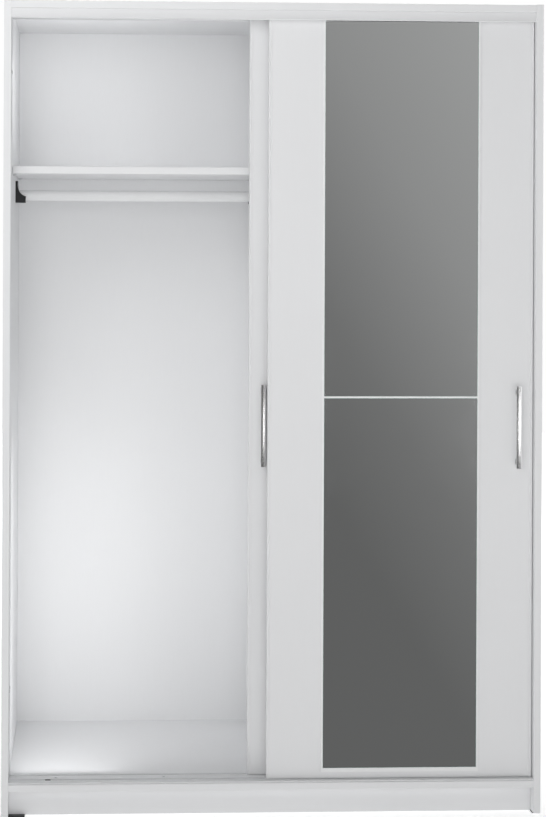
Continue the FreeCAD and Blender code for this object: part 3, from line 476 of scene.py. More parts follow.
def islands(nodeName):
    # The corners of each separate solid of a CAD node.
    shape = bmesh.new()
    shape.from_mesh(cadNodes[nodeName].data)
    bmesh.ops.remove_doubles(shape, verts=shape.verts, dist=1e-6)
    left = set(shape.verts)
    found = []
    while left:
        stack = [left.pop()]
        group = []
        while stack:
            corner = stack.pop()
            group.append(corner.co.copy())
            for edge in corner.link_edges:
                other = edge.other_vert(corner)
                if other in left:
                    left.remove(other)
                    stack.append(other)
        found.append(group)
    shape.free()
    # A fixed order, so that each fastener keeps its own random turn from run to run.
    return sorted(found, key=lambda group: [round(min(p[i] for p in group), 6) for i in range(3)])


def reach(points, axis, at, slack=0.3 * mm):
    # How far the corners at one end of a solid stand from its axis.
    others = [i for i in range(3) if i != axis]
    middle = [sum(f(p[i] for p in points) for f in (min, max)) / 2 for i in others]
    near = [p for p in points if abs(p[axis] - at) < slack]
    return max((math.hypot(*(p[i] - m for i, m in zip(others, middle))) for p in near), default=0)


def standing(nodeName, axis=None, wideEnd=True, hosts=()):
    # Where each solid of a fastener node starts and which way it points: from its wide end inwards,
    # or from the nearer face of the board that it is let into.
    places = []
    for points in islands(nodeName):
        low = Vector([min(p[i] for p in points) for i in range(3)])
        high = Vector([max(p[i] for p in points) for i in range(3)])
        size = high - low
        # A turned solid is as wide as it is deep, so its axis is the odd size out.
        way = "xyz".index(axis) if axis else max(range(3), key=lambda i: abs(3 * size[i] - sum(size)))
        start, end = (reach(points, way, at) for at in (low[way], high[way]))
        fromLow = (start >= end) == wideEnd
        origin = (low + high) / 2
        for hostLow, hostHigh in (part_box(host) for host in hosts):
            if all(hostLow[i] < origin[i] < hostHigh[i] for i in range(3)):
                fromLow = low[way] - hostLow[way] < hostHigh[way] - high[way]
        origin[way] = low[way] if fromLow else high[way]
        direction = Vector((0, 0, 0))
        direction[way] = 1 if fromLow else -1
        places.append((origin, direction, size))
    return places


recessTaper = (0.55, 0.7)       # how far a cross recess narrows along and across its arms


def crossRecess(mesh, top, reachOut, width, depth):
    # Cuts a cross with sloped walls down from the top face of a turned shape that points down -z.
    body = newPiece("cutBody", mesh)
    for turn in (0, math.pi / 2):
        arm = block((-reachOut / 2, -width / 2, top - depth), (reachOut / 2, width / 2, top + depth))
        for corner in arm.verts:
            if corner.co.z < top:
                corner.co.x *= recessTaper[0]
                corner.co.y *= recessTaper[1]
        bmesh.ops.rotate(arm, verts=arm.verts, cent=(0, 0, 0), matrix=Matrix.Rotation(turn, 3, "Z"))
        tool = newPiece("cutTool", plainMesh("arm", arm))
        cut = body.modifiers.new("cut", "BOOLEAN")
        cut.operation = "DIFFERENCE"
        cut.solver = "EXACT"
        cut.object = tool
        result = finished(body)
        body.modifiers.clear()
        body.data = result
        bpy.data.objects.remove(tool)
    mesh = body.data
    bpy.data.objects.remove(body)
    return mesh


def crossFaced(mesh, top, reachOut, width, depth):
    # The same recess in a shape that starts at its face and points up +z.
    overturned = Matrix.Diagonal((1, 1, -1, 1))
    mesh.transform(overturned)
    mesh.flip_normals()
    mesh = crossRecess(mesh, top, reachOut, width, depth)
    mesh.transform(overturned)
    mesh.flip_normals()
    return smoothed(mesh)


screwLook = {
    "dome": 0.35,                     # shares of the head's height or radius
    "domeSteps": 4,
    "rim": 0.8,
    "underRim": 0.93,
    "recessReach": 1.15,
    "recessWidth": 0.26,
    "recessDepth": 0.5,
    "threadPitch": 1.4 * mm,
    "threadRise": 0.35 * mm,
    "threadCrest": (0.45, 0.7),       # where a turn's crest ends and its root lies, along the pitch
    "steps": 28,
}


def screwShape(name, headRadius, headHeight, shankRadius, length):
    # Starts at its head's outer face and points up +z: a low domed head, a cross recess and a thread.
    look = screwLook
    drop = headHeight * look["dome"]
    pitch, root = look["threadPitch"], shankRadius - look["threadRise"]
    profile = [(0, 0)]
    for step in range(1, look["domeSteps"] + 1):
        turn = step / look["domeSteps"] * math.pi / 2
        profile.append((headRadius * math.sin(turn), drop * (1 - math.cos(turn))))
    profile += [(headRadius, headHeight * look["rim"]), (headRadius * look["underRim"], headHeight),
                (shankRadius, headHeight)]
    height = headHeight
    while height + pitch < length - shankRadius:
        crestEnd, rootAt = (height + pitch * share for share in look["threadCrest"])
        height += pitch
        profile += [(shankRadius, crestEnd), (root, rootAt), (shankRadius, height)]
    profile += [(root, length - shankRadius), (0, length)]
    return crossFaced(lathe(name, profile, look["steps"]), 0, headRadius * look["recessReach"],
                      headRadius * look["recessWidth"], headHeight * look["recessDepth"])


camLockLook = {
    "sunk": 0.35 * mm,                # the face lies this far below its rim
    "rim": (1.3 * mm, 1.0 * mm, 0.3 * mm),
    "rimRound": 0.3 * mm,
    "footRound": 0.4 * mm,
    "slotReach": 1.25,                # share of the radius
    "slotWidth": 2.0 * mm,
    "slotDepth": 3.0 * mm,
    "steps": 40,
}


def camLockShape(name, radius, height):
    # A turned die-cast lock: a rim, a sunk face with a cross slot and a plain drum.
    look = camLockLook
    sunk, foot = look["sunk"], look["footRound"]
    rimFoot, rimInside, rimOutside = (radius - inset for inset in look["rim"])
    profile = [(0, sunk), (rimFoot, sunk), (rimInside, 0), (rimOutside, 0), (radius, look["rimRound"]),
               (radius, height - foot), (radius - foot, height), (0, height)]
    return crossFaced(lathe(name, profile, look["steps"]), -sunk, radius * look["slotReach"],
                      look["slotWidth"], look["slotDepth"])


camBoltLook = {
    "foot": 0.325,                    # share of the length that screws into the panel
    "threads": 8,
    "threadRadii": (0.7, 0.55),       # crest and root, as shares of the head's radius
    "threadDrop": 0.055,
    "neck": 0.55,
    "collar": (1.2 * mm, 2 * mm),     # its thickness, and where the neck begins
    "head": (6 * mm, 5 * mm, 0.6 * mm),
    "steps": 24,
}


def camBoltShape(name, size):
    # A threaded foot, a collar, a slim neck and a round head for the lock to pull on.
    look = camBoltLook
    radius, length = size[0] / 2, size[2]
    foot = length * look["foot"]
    crest, root = (radius * share for share in look["threadRadii"])
    profile = [(0, 0), (radius * 0.5, 0)]
    for step in range(look["threads"]):
        start = foot * (0.08 + 0.9 * step / look["threads"])
        profile += [(crest, start), (root, start + foot * look["threadDrop"])]
    collarEnd, neckStart = (foot + rise for rise in look["collar"])
    neckEnd, headStart, headRound = (length - back for back in look["head"])
    neck = radius * look["neck"]
    profile += [(radius * 0.6, foot), (radius, foot), (radius, collarEnd), (neck, neckStart),
                (neck, neckEnd), (radius, headStart), (radius, headRound), (radius * 0.8, length), (0, length)]
    return smoothed(lathe(name, profile, look["steps"]))


dowelLook = {"flutes": 16, "fluteDepth": 0.05, "broken": 1.0 * mm, "brokenLength": 1.2 * mm}


def dowelShape(name, radius, length):
    # A beech pin with pressed flutes and broken ends.
    look = dowelLook
    end, slim = look["brokenLength"], radius - look["broken"]
    profile = [(0, 0), (slim, 0), (radius, end), (radius, length - end), (slim, length), (0, length)]
    mesh = lathe(name, profile, look["flutes"] * 4)
    for corner in mesh.vertices:
        if math.hypot(corner.co.x, corner.co.y) > radius * 0.9:
            turn = math.atan2(corner.co.y, corner.co.x)
            shrink = 1 - look["fluteDepth"] * (0.5 + 0.5 * math.cos(look["flutes"] * turn))
            corner.co.x *= shrink
            corner.co.y *= shrink
    return smoothed(mesh, 50)


supportLook = {
    "peg": 6.85 * mm,
    "pegRadius": 2.4 * mm,
    "pegRound": 0.5 * mm,
    "shelfSide": 1.95 * mm,           # the tongue's top above the peg's axis
    "tongue": 1.8 * mm,
    "tongueInset": 0.5 * mm,
    "tongueRound": 0.5 * mm,
    "collar": 1.2 * mm,
    "collarRound": 0.35 * mm,
    "rib": 1.6 * mm,
    "ribRound": 0.3 * mm,
    "ribEnd": 2 * mm,                 # how far the rib stops short of the tongue
    "ribTip": 0.2 * mm,
    "steps": 20,
}


def supportShape(name, size):
    # A plated spoon pin: a round peg in the panel, a flat tongue under the shelf and a rib below it.
    look = supportLook
    height, width, length = size
    peg, radius, top, ribHalf = look["peg"], look["pegRadius"], look["shelfSide"], look["rib"] / 2
    inside = peg + look["collar"] / 2
    under, tongueSide, tongueFoot = -height / 2, width / 2 - look["tongueInset"], top - look["tongue"]
    profile = [(0, 0), (radius - look["pegRound"], 0), (radius, look["pegRound"]), (radius, peg), (0, peg)]
    mesh = lathe(name, profile, look["steps"])
    shape = bmesh.new()
    shape.from_mesh(mesh)
    collar = block((under, -width / 2, peg), (top, width / 2, peg + look["collar"]), look["collarRound"], 2)
    tongue = block((tongueFoot, -tongueSide, inside), (top, tongueSide, length), look["tongueRound"], 2)
    rib = block((under + look["ribRound"], -ribHalf, inside),
                (top - look["tongue"] / 2, ribHalf, length - look["ribEnd"]), look["ribRound"], 2)
    for corner in rib.verts:
        if corner.co.z > (length + peg) / 2 and corner.co.x < 0:
            corner.co.x = tongueFoot - look["ribTip"]
    bpy.data.meshes.remove(mesh)
    return smoothed(joined(name, [shape, collar, tongue, rib]))


bumperLook = {"wall": 0.25, "domeSteps": 5, "steps": 28}


def bumperShape(name, radius, thickness):
    # A clear dome stuck to the panel, its flat side at the origin.
    look = bumperLook
    wall = look["wall"]
    profile = [(0, 0), (radius, 0), (radius, thickness * wall)]
    for step in range(1, look["domeSteps"] + 1):
        turn = step / look["domeSteps"] * math.pi / 2
        profile.append((radius * math.cos(turn), thickness * (wall + (1 - wall) * math.sin(turn))))
    return smoothed(lathe(name, profile, look["steps"]), 50)


def fastenerTree():
    # Puts a copy of one shape on each point, pointing along the point's direction, with a random turn.
    tree = bpy.data.node_groups.new("fastenerSetOut", "GeometryNodeTree")
    tree.is_modifier = True
    face = tree.interface
    face.new_socket("Points", in_out="INPUT", socket_type="NodeSocketGeometry")
    for name, kind, value in (("Shape", "NodeSocketObject", None), ("Size", "NodeSocketFloat", 1.0),
                              ("Loose Turn", "NodeSocketFloat", 0.0), ("Seed", "NodeSocketInt", 7),
                              ("Finish", "NodeSocketMaterial", None)):
        socket = face.new_socket(name, in_out="INPUT", socket_type=kind)
        if value is not None:
            socket.default_value = value
    face.new_socket("Fasteners", in_out="OUTPUT", socket_type="NodeSocketGeometry")
    add = tree.nodes.new
    given, result = add("NodeGroupInput"), add("NodeGroupOutput")
    shape = add("GeometryNodeObjectInfo")
    direction = add("GeometryNodeInputNamedAttribute")
    direction.data_type = "FLOAT_VECTOR"
    direction.inputs["Name"].default_value = "direction"
    toPoints = add("GeometryNodeMeshToPoints")
    align = add("FunctionNodeAlignRotationToVector")
    align.axis = "Z"
    loose = add("FunctionNodeRandomValue")
    loose.data_type = "FLOAT"
    negative = add("ShaderNodeMath")
    negative.operation = "MULTIPLY"
    negative.inputs[1].default_value = -1
    axisTurn = add("FunctionNodeAxisAngleToRotation")
    axisTurn.inputs["Axis"].default_value = (0, 0, 1)
    turned = add("FunctionNodeRotateRotation")
    turned.rotation_space = "LOCAL"
    instances = add("GeometryNodeInstanceOnPoints")
    realised = add("GeometryNodeRealizeInstances")
    coated = add("GeometryNodeSetMaterial")
    wires = (
        (given.outputs["Points"], toPoints.inputs["Mesh"]),
        (toPoints.outputs["Points"], instances.inputs["Points"]),
        (given.outputs["Shape"], shape.inputs["Object"]),
        (shape.outputs["Geometry"], instances.inputs["Instance"]),
        (direction.outputs["Attribute"], align.inputs["Vector"]),
        (given.outputs["Loose Turn"], negative.inputs[0]),
        (negative.outputs["Value"], loose.inputs[2]),
        (given.outputs["Loose Turn"], loose.inputs[3]),
        (given.outputs["Seed"], loose.inputs["Seed"]),
        (loose.outputs[1], axisTurn.inputs["Angle"]),
        (align.outputs["Rotation"], turned.inputs["Rotation"]),
        (axisTurn.outputs["Rotation"], turned.inputs["Rotate By"]),
        (turned.outputs["Rotation"], instances.inputs["Rotation"]),
        (given.outputs["Size"], instances.inputs["Scale"]),
        (instances.outputs["Instances"], realised.inputs["Geometry"]),
        (realised.outputs["Geometry"], coated.inputs["Geometry"]),
        (given.outputs["Finish"], coated.inputs["Material"]),
        (coated.outputs["Geometry"], result.inputs["Fasteners"]),
    )
    for start, end in wires:
        tree.links.new(start, end)
    return tree


setOutTree = fastenerTree()


def setOut(name, places, shapeMesh, finish, looseTurn=0.0, seed=7):
    # One mesh of all the copies, made by the tree and then kept plain.
    mesh = bpy.data.meshes.new(name + "Points")
    mesh.from_pydata([tuple(origin) for origin, direction, size in places], [], [])
    attribute = mesh.attributes.new("direction", "FLOAT_VECTOR", "POINT")
    for index, (origin, direction, size) in enumerate(places):
        attribute.data[index].vector = direction
    carrier = newPiece(name + "Carrier", mesh)
    shape = newPiece(name + "Shape", shapeMesh)
    modifier = carrier.modifiers.new("setOut", "NODES")
    modifier.node_group = setOutTree
    values = {"Shape": shape, "Size": 1.0, "Loose Turn": looseTurn, "Seed": seed, "Finish": finish}
    for socket in setOutTree.interface.items_tree:
        if socket.in_out == "INPUT" and socket.name in values:
            modifier[socket.identifier] = values[socket.name]
    bpy.context.view_layer.update()
    result = finished(carrier)
    result.name = name
    bpy.data.objects.remove(carrier)
    bpy.data.objects.remove(shape)
    return newPiece(name, result)


def fasten(nodeName, shapeMaker, finish, body, slotName, looseTurn=0.0, **how):
    # Replaces a CAD node of fasteners with detailed ones in the same places.
    places = standing(nodeName, **how)
    piece = setOut(nodeName + "_detail", places, shapeMaker(places[0]), finish, looseTurn,
                   seed=len(nodeName))
    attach(piece, body)
    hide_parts(nodeName)


def axisSize(place):
    # A solid's size with its own axis last.
    origin, direction, size = place
    way = max(range(3), key=lambda i: abs(direction[i]))
    return [size[i] for i in range(3) if i != way] + [size[way]]


screwSizes = {
    "boardScrew": {"headHeight": 2.0 * mm, "shankRadius": 1.55 * mm},
    "machineScrew": {"headHeight": 2.4 * mm, "shankRadius": 1.9 * mm},
}


def screwMaker(kind):
    def shape(place):
        width, _, length = axisSize(place)
        return screwShape(kind, width / 2, length=length, **screwSizes[kind])
    return shape


def turnedSize(maker):
    def shape(place):
        width, _, length = axisSize(place)
        return maker(maker.__name__, width / 2, length)
    return shape


for nodeName in ("rail_bracket_screws", "track_screws", "wall_bracket_screws"):
    fasten(nodeName, screwMaker("boardScrew"), finishes["zinc"], "carcass", "zinc", looseTurn=math.pi)
fasten("cam_locks", turnedSize(camLockShape), finishes["zinc"], "carcass", "zinc", looseTurn=0.25,
       hosts=("top_panel", "bottom_panel", "centre_partition"))
fasten("cam_bolts", lambda place: camBoltShape("camBolt", axisSize(place)), finishes["zinc"],
       "carcass", "zinc", wideEnd=False)
fasten("dowels", turnedSize(dowelShape), finishes["beech"], "carcass", "dowel", looseTurn=math.pi)
fasten("door_bumpers", turnedSize(bumperShape), finishes["stop"], "carcass", "soft_stop", axis="x")
print("carcass fasteners set out")


def doorScrews(door):
    # Short and long screws stand in one node, so each solid gets its own kind.
    nodeName = f"{door}_door_screws"
    places = standing(nodeName)
    lengths = [max(size) for origin, direction, size in places]
    split = (min(lengths) + max(lengths)) / 2
    kinds = {"boardScrew": [p for p, length in zip(places, lengths) if length < split],
             "machineScrew": [p for p, length in zip(places, lengths) if length >= split]}
    for kind, chosen in kinds.items():
        shape = screwMaker(kind)(chosen[0])
        piece = setOut(f"{door}_{kind}s", chosen, shape, finishes["zinc"], math.pi, len(door))
        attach(piece, f"{door}_door")
        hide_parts(nodeName)


for door in doorNames:
    doorScrews(door)
print("door screws set out")


def shelfSupports():
    # Each pin points out of its panel, with its flat tongue up under the shelf.
    nodeName = "shelf_supports"
    placesBySide = {1: [], -1: []}
    for origin, direction, size in standing(nodeName, axis="x", wideEnd=False):
        placesBySide[1 if direction.x > 0 else -1].append((origin, direction, size))
    for way, places in placesBySide.items():
        size = places[0][2]
        mesh = supportShape("supportPin", (size.z, size.y, size.x))
        # The pin is drawn with its upper side towards +x; here it is turned to the side it stands on.
        turn = Matrix(((0, 0, way), (0, 1, 0), (1, 0, 0))).to_4x4()
        copies = []
        for origin, direction, _ in places:
            copy = bmesh.new()
            copy.from_mesh(mesh)
            bmesh.ops.transform(copy, matrix=Matrix.Translation(origin) @ turn, verts=copy.verts)
            bmesh.ops.recalc_face_normals(copy, faces=copy.faces)
            copies.append(copy)
        side = "left" if way > 0 else "right"
        piece = newPiece(f"shelf_pins_{side}", smoothed(joined("shelfPins", copies)), finishes["zinc"])
        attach(piece, "carcass")
        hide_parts(nodeName)


shelfSupports()
print("shelf pins set out")


def mirrorPlate(nodeName):
    # A silvered plate with a ground arris round its face and green glass edges.
    low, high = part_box(nodeName)
    look = mirrorLook
    silverSlot, edgeSlot = 0, 1
    levels = ((high.y, 0), (low.y + look["arrisDrop"], 0), (low.y, look["arris"]))
    shape = bmesh.new()
    rings = []
    for y, inset in levels:
        left, right, bottom, top = low.x + inset, high.x - inset, low.z + inset, high.z - inset
        rings.append([shape.verts.new((x, y, z))
                      for x, z in ((left, bottom), (right, bottom), (right, top), (left, top))])
    for outer, inner in zip(rings, rings[1:]):
        for i in range(4):
            j = (i + 1) % 4
            shape.faces.new((outer[i], outer[j], inner[j], inner[i])).material_index = edgeSlot
    shape.faces.new(rings[-1]).material_index = silverSlot
    shape.faces.new(list(reversed(rings[0]))).material_index = edgeSlot
    bmesh.ops.recalc_face_normals(shape, faces=shape.faces)
    mesh = plainMesh(nodeName + "_plate", shape)
    piece = newPiece(nodeName + "_plate", mesh, finishes["silver"], finishes["glassEdge"])
    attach(piece, "front_door")
    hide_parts(nodeName)


for nodeName in ("mirror_upper", "mirror_lower"):
    mirrorPlate(nodeName)
print("mirror plates made")


def extruded(name, outline, axis, start, end):
    # Carries a closed outline, given in the two other axes' order, along one axis.
    order = {"x": lambda p, at: (at, *p), "z": lambda p, at: (*p, at)}[axis]
    shape = bmesh.new()
    first, last = ([shape.verts.new(order(point, at)) for point in outline] for at in (start, end))
    for i in range(len(outline)):
        j = (i + 1) % len(outline)
        shape.faces.new((first[i], first[j], last[j], last[i]))
    shape.faces.new(list(reversed(first)))
    shape.faces.new(last)
    bmesh.ops.triangulate(shape, faces=[face for face in shape.faces if len(face.verts) > 4])
    bmesh.ops.recalc_face_normals(shape, faces=shape.faces)
    return smoothed(plainMesh(name, shape), 35)


edgeProfileLook = {
    "wall": 1.0 * mm,
    # Half of the section: distance in from the edge and back from the face, from lip to nose.
    "lip": ((8.0, 0.5), (7.6, 0.2), (5.3, 0.2), (5.0, 0.9), (3.9, 0.9), (3.6, 0.25)),
    "nose": ((3.2, 0.06), (2.4, 0.0), (1.5, 0.04), (0.8, 0.22), (0.3, 0.6), (0.06, 1.2), (0.0, 2.0)),
}


def edgeProfile(nodeName, door, side):
    # A coated channel on the door's edge with a rounded nose and a fine groove beside its lip.
    low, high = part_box(nodeName)
    look = edgeProfileLook
    wall, depth, width = look["wall"], high.y - low.y, high.x - low.x
    half = [(d * mm, back * mm) for d, back in look["lip"] + look["nose"]]
    section = half + [(d, depth - back) for d, back in reversed(half)]
    section += [(width, depth - wall), (wall, depth - wall), (wall, wall), (width, wall)]
    outline = [(low.x + d if side == "left" else high.x - d, low.y + back) for d, back in section]
    mesh = extruded(nodeName + "_section", outline, "z", low.z, high.z)
    piece = newPiece(nodeName + "_section", mesh, finishes["profile"])
    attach(piece, f"{door}_door")
    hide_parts(nodeName)


for door in doorNames:
    for side in ("left", "right"):
        edgeProfile(f"{door}_door_{side}_profile", door, side)
print("edge profiles made")


topTrackLook = {
    "plate": 2.0 * mm,
    # Fascia from the top board down: a shadow groove, a flat face and a bead along the bottom.
    "fascia": ((2.0, 22.0), (2.0, 20.1), (0.7, 20.1), (0.5, 19.9), (0.5, 3.0), (0.35, 2.6), (0.08, 2.2),
               (0.0, 1.9), (0.0, 0.6), (0.4, 0.0), (2.1, 0.0), (2.5, 0.4)),
    "ribs": ((17.0, 1.5, 8.0), (23.5, 1.5, 8.0), (36.0, 2.0, 16.0), (49.0, 1.5, 8.0), (55.5, 1.5, 8.0),
             (68.0, 2.0, 16.0)),        # distance back, thickness, drop below the plate
    "edge": 0.3,
}


def topTrack():
    low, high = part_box("top_track")
    look = topTrackLook
    under = (high.z - low.z - look["plate"]) / mm
    section = list(look["fascia"]) + [(look["fascia"][-1][0], under)]
    edge = look["edge"]
    for back, thickness, drop in look["ribs"]:
        section += [(back, under), (back, under - drop + edge), (back + edge, under - drop),
                    (back + thickness - edge, under - drop), (back + thickness, under - drop + edge)]
        if back + thickness < (high.y - low.y) / mm - edge:
            section.append((back + thickness, under))
    section.append(((high.y - low.y) / mm, (high.z - low.z) / mm))
    outline = [(low.y + back * mm, low.z + rise * mm) for back, rise in section]
    mesh = extruded("top_track_section", outline, "x", low.x, high.x)
    piece = newPiece("top_track_section", mesh, finishes["track"])
    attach(piece, "carcass")
    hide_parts("top_track")


topTrack()
print("top track made")


handleLook = {
    "barDepth": 5.5 * mm,
    "square": (0.55, 0.62),           # 1 is an oval section, less is squarer, across and deep
    "steps": 32,
    # Distance from the end of the bar, and the share of the full section there.
    "ends": ((0, 0.90), (0.35 * mm, 0.955), (1.0 * mm, 1.0)),
    "post": 10 * mm,
    "postInset": 9 * mm,
    "postSide": 1.6 * mm,             # how far the post stands back from the bar's sides
    "postRound": 1.0 * mm,
    "letIn": 0.8 * mm,                # how far the post runs into the bar
    "footFlange": 1.2 * mm,
    "footHeight": 1.0 * mm,
    "footRound": 0.4 * mm,
}


def handleBar(low, high):
    # The bar's section is a squared oval, drawn once and carried up between rounded ends.
    look = handleLook
    acrossPower, deepPower = look["square"]
    halfWidth, halfDepth = (high.x - low.x) / 2, look["barDepth"] / 2
    centre = ((high.x + low.x) / 2, low.y + halfDepth)
    section = []
    for step in range(look["steps"]):
        turn = 2 * math.pi * step / look["steps"]
        c, s = math.cos(turn), math.sin(turn)
        section.append((halfWidth * math.copysign(abs(c) ** acrossPower, c),
                        halfDepth * math.copysign(abs(s) ** deepPower, s)))
    shape = bmesh.new()
    heights = [(low.z + rise, share) for rise, share in look["ends"]]
    heights += [(high.z - rise, share) for rise, share in reversed(look["ends"])]
    rings = [[shape.verts.new((centre[0] + x * share, centre[1] + y * share, z)) for x, y in section]
             for z, share in heights]
    for lower, upper in zip(rings, rings[1:]):
        for i in range(len(section)):
            j = (i + 1) % len(section)
            shape.faces.new((lower[i], lower[j], upper[j], upper[i]))
    shape.faces.new(list(reversed(rings[0])))
    shape.faces.new(rings[-1])
    bmesh.ops.recalc_face_normals(shape, faces=shape.faces)
    return shape


def handlePiece(door):
    # The bar stands off on two posts, each with a small flange on the door.
    nodeName = f"{door}_door_handle"
    low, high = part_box(nodeName)
    look = handleLook
    shapes = [handleBar(low, high)]
    side, post, flange = look["postSide"], look["post"], look["footFlange"]
    postFront = low.y + look["barDepth"] - look["letIn"]
    footFront = high.y - look["footHeight"]
    for z in (low.z + look["postInset"], high.z - look["postInset"] - post):
        shapes.append(block((low.x + side, postFront, z), (high.x - side, high.y, z + post),
                            look["postRound"], 3))
        shapes.append(block((low.x + side - flange, footFront, z - flange),
                            (high.x - side + flange, high.y, z + post + flange), look["footRound"], 2))
    mesh = smoothed(joined(nodeName + "_bar", shapes))
    piece = newPiece(nodeName + "_bar", mesh, finishes["handle"])
    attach(piece, f"{door}_door")
    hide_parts(nodeName)


for door in doorNames:
    handlePiece(door)
print("handles made")


rollerLook = {
    "halfWidth": 3.0,                 # millimetres, as the outline is
    "stub": 1.6,
    "axle": 2.0,
    "axleRound": 0.3,
    "hub": 3.4,
    "webSink": 0.9,
    # Half of the rim: in from the running radius, and back from the front of the wheel.
    "rim": ((1.8, 0.9), (1.4, 0.1), (0.7, 0.0), (0.0, 0.7), (0.0, 1.6), (0.5, 2.3)),
    "steps": 48,
}


def roller(nodeName):
    # A moulded wheel with a shallow running groove, a dished web and its stub axle.
    low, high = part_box(nodeName)
    look = {key: value * mm for key, value in rollerLook.items() if isinstance(value, float)}
    radius, length = (high.z - low.z) / 2, high.y - low.y
    stub, axle, axleRound, hub = look["stub"], look["axle"], look["axleRound"], look["hub"]
    front = [(hub, stub), (hub, stub + 0.5 * mm), (hub + 0.6 * mm, stub + look["webSink"])]
    front += [(radius - inset * mm, stub + back * mm) for inset, back in rollerLook["rim"]]
    profile = [(0, 0), (axle - axleRound, 0), (axle, axleRound), (axle, stub)] + front
    profile += [(r, 2 * (stub + look["halfWidth"]) - h) for r, h in reversed([(axle, stub)] + front)]
    profile += [(axle, length - axleRound), (axle - axleRound, length), (0, length)]
    mesh = lathe(nodeName + "_wheel", profile, rollerLook["steps"])
    centre = ((low.x + high.x) / 2, low.y, (low.z + high.z) / 2)
    mesh.transform(Matrix.Translation(centre) @ Matrix.Rotation(-math.pi / 2, 4, "X"))
    piece = newPiece(nodeName + "_wheel", smoothed(mesh), finishes["roller"])
    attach(piece, nodeName)
    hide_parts(nodeName)


for door in doorNames:
    for side in ("left", "right"):
        roller(f"{door}_roller_{side}")
print("rollers made")


studio = {
    "floorSize": 14.0,
    "floorTone": (0.93, 0.93, 0.93),
    "floorGlow": (0.5, 1.0),          # near the wardrobe, and far off where it meets the backdrop
    "glowReach": (1.6, 3.6),
    "ambient": 0.13,
    "backdrop": 1.0,
    "reflectionTilt": (1.7, 0.0, 1.0),      # the reflected studio grows lighter upwards and to the right
    "reflectionTones": ((-0.4, 0.115), (0.09, 0.128), (0.2, 0.175),
                        (0.35, 0.285), (0.5, 0.36), (1.2, 0.6)),
    "lens": 75.13,
    "cameraPlace": (-0.4207, -4.0179, 1.292),
    "cameraTurn": 2.29,
    "cameraRoll": 0.245,
    "shift": (0.147, -0.2141),
}
studioLights = {
    "key": {"place": (-0.6, -4.2, 1.6), "aim": (0, 0, 0.9), "size": (1.4, 1.4), "power": 29},
    "upperLeft": {"place": (-0.9, -1.7, 2.3), "aim": (0, 0, 1.3), "size": (0.8, 0.8), "power": 8},
    "overhead": {"place": (0, 0.2, 4.2), "aim": (0, 0.2, 0), "size": (1.6, 0.8), "power": 30},
    "sideLeft": {"place": (-3.6, 0.9, 1.5), "aim": (-0.6, 0, 0.9), "size": (1.8, 1.8), "power": 24},
    "sideRight": {"place": (3.6, 0.9, 1.5), "aim": (0.6, 0, 0.9), "size": (1.8, 1.8), "power": 24},
    "rear": {"place": (0, 4.2, 2.0), "aim": (0, 0.2, 0.9), "size": (2.0, 2.0), "power": 80},
}
mouthLights = {      # stand in the mouths of the compartments and face their backs
    "bay": {"out": 0.46, "height": 0.45, "size": (0.22, 0.7), "power": 0.7},
    "loft": {"out": 0.44, "height": 1.61, "size": (0.26, 0.2), "power": 0.3},
}
mouthDepth = -0.18
shineLights = {      # narrow lights that only draw the shine on the handles
    "stripMiddle": {"place": (0.4, -4.2, 0.42), "aim": (-0.02, -0.2, 0.86),
                    "size": (0.36, 1.0), "power": 3.2},
    "stripRight": {"place": (1.72, -4.2, 0.45), "aim": (0.55, -0.2, 0.86),
                   "size": (0.5, 1.1), "power": 6.5},
}


def studioFloor():
    half = studio["floorSize"] / 2
    mesh = bpy.data.meshes.new("floor")
    corners = [(-half, -half, 0), (half, -half, 0), (half, half, 0), (-half, half, 0)]
    mesh.from_pydata(corners, [], [(0, 1, 2, 3)])
    finish, tree, shader, place = startFinish("floor_paper", studio["floorTone"], 0.9)
    grain = noise(tree, place, 0.004, 3)
    paint(tree, shader, blendColours(tree, grain, shade(studio["floorTone"], 0.99), studio["floorTone"]))
    shader.inputs["Emission Color"].default_value = (1, 1, 1, 1)
    distance = tree.nodes.new("ShaderNodeVectorMath")
    distance.operation = "LENGTH"
    tree.links.new(place, distance.inputs[0])
    glow = remap(tree, distance.outputs["Value"], *studio["glowReach"], *studio["floorGlow"])
    tree.links.new(glow, shader.inputs["Emission Strength"])
    floor = newPiece("floor", mesh, finish)
    floor.visible_glossy = False


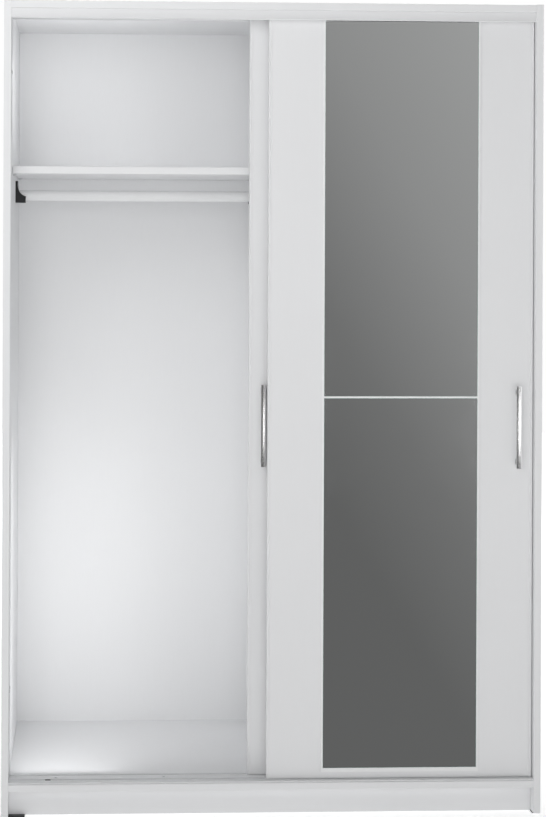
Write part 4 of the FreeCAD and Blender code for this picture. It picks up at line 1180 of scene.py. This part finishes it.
def studioWorld():
    # White behind the object, even light on it, and a soft grey gradient in what reflects.
    world = bpy.data.worlds.new("studio")
    bpy.context.scene.world = world
    world.use_nodes = True
    tree = world.node_tree
    tree.nodes.clear()
    add, link = tree.nodes.new, tree.links.new
    rays = add("ShaderNodeLightPath")
    direction = add("ShaderNodeTexCoord")
    tilt = add("ShaderNodeVectorMath")
    tilt.operation = "DOT_PRODUCT"
    tilt.inputs[1].default_value = studio["reflectionTilt"]
    link(direction.outputs["Generated"], tilt.inputs[0])
    tones = studio["reflectionTones"]
    start, end = tones[0][0], tones[-1][0]
    along = remap(tree, tilt.outputs["Value"], start, end, 0, 1)
    ramp = add("ShaderNodeValToRGB")
    for index, (at, tone) in enumerate(tones):
        spot = (at - start) / (end - start)
        element = ramp.color_ramp.elements[0] if index == 0 else ramp.color_ramp.elements.new(spot)
        element.position = spot
        element.color = (tone, tone, tone, 1)
    ramp.color_ramp.elements.remove(ramp.color_ramp.elements[-1])
    link(along, ramp.inputs["Fac"])
    ambient, backdrop = (studio["ambient"],) * 3, (studio["backdrop"],) * 3
    level = blendColours(tree, rays.outputs["Is Glossy Ray"], ambient, ramp.outputs["Color"])
    level = blendColours(tree, rays.outputs["Is Camera Ray"], level, backdrop)
    background = add("ShaderNodeBackground")
    link(level, background.inputs["Color"])
    link(background.outputs["Background"], add("ShaderNodeOutputWorld").inputs["Surface"])


def softLight(name, place, aim, size, power, onlyShine=False):
    data = bpy.data.lights.new(name, "AREA")
    data.shape = "RECTANGLE"
    data.size, data.size_y = size
    data.energy = power
    light = bpy.data.objects.new(name, data)
    light.location = place
    light.rotation_euler = (Vector(aim) - Vector(place)).to_track_quat("-Z", "Y").to_euler()
    light.visible_camera = False
    # Broad lights show in no mirror, and the narrow ones light nothing.
    light.visible_glossy = onlyShine
    light.visible_diffuse = not onlyShine
    bpy.context.scene.collection.objects.link(light)


def studioCamera():
    data = bpy.data.cameras.new("camera")
    data.lens = studio["lens"]
    data.shift_x, data.shift_y = studio["shift"]
    camera = bpy.data.objects.new("camera", data)
    turn = Euler((math.pi / 2, 0, -math.radians(studio["cameraTurn"]))).to_matrix()
    turn = turn @ Matrix.Rotation(math.radians(studio["cameraRoll"]), 3, "Z")
    camera.matrix_world = Matrix.Translation(studio["cameraPlace"]) @ turn.to_4x4()
    bpy.context.scene.collection.objects.link(camera)
    bpy.context.scene.camera = camera


studioFloor()
studioWorld()
for name, light in studioLights.items():
    softLight(name, **light)
for name, light in mouthLights.items():
    for side, x in (("Left", -light["out"]), ("Right", light["out"])):
        z = light["height"]
        softLight(name + side, (x, mouthDepth, z), (x, 1, z), light["size"], light["power"])
for name, light in shineLights.items():
    softLight(name, **light, onlyShine=True)
studioCamera()
bpy.context.scene.view_settings.view_transform = "Standard"
print("studio ready")
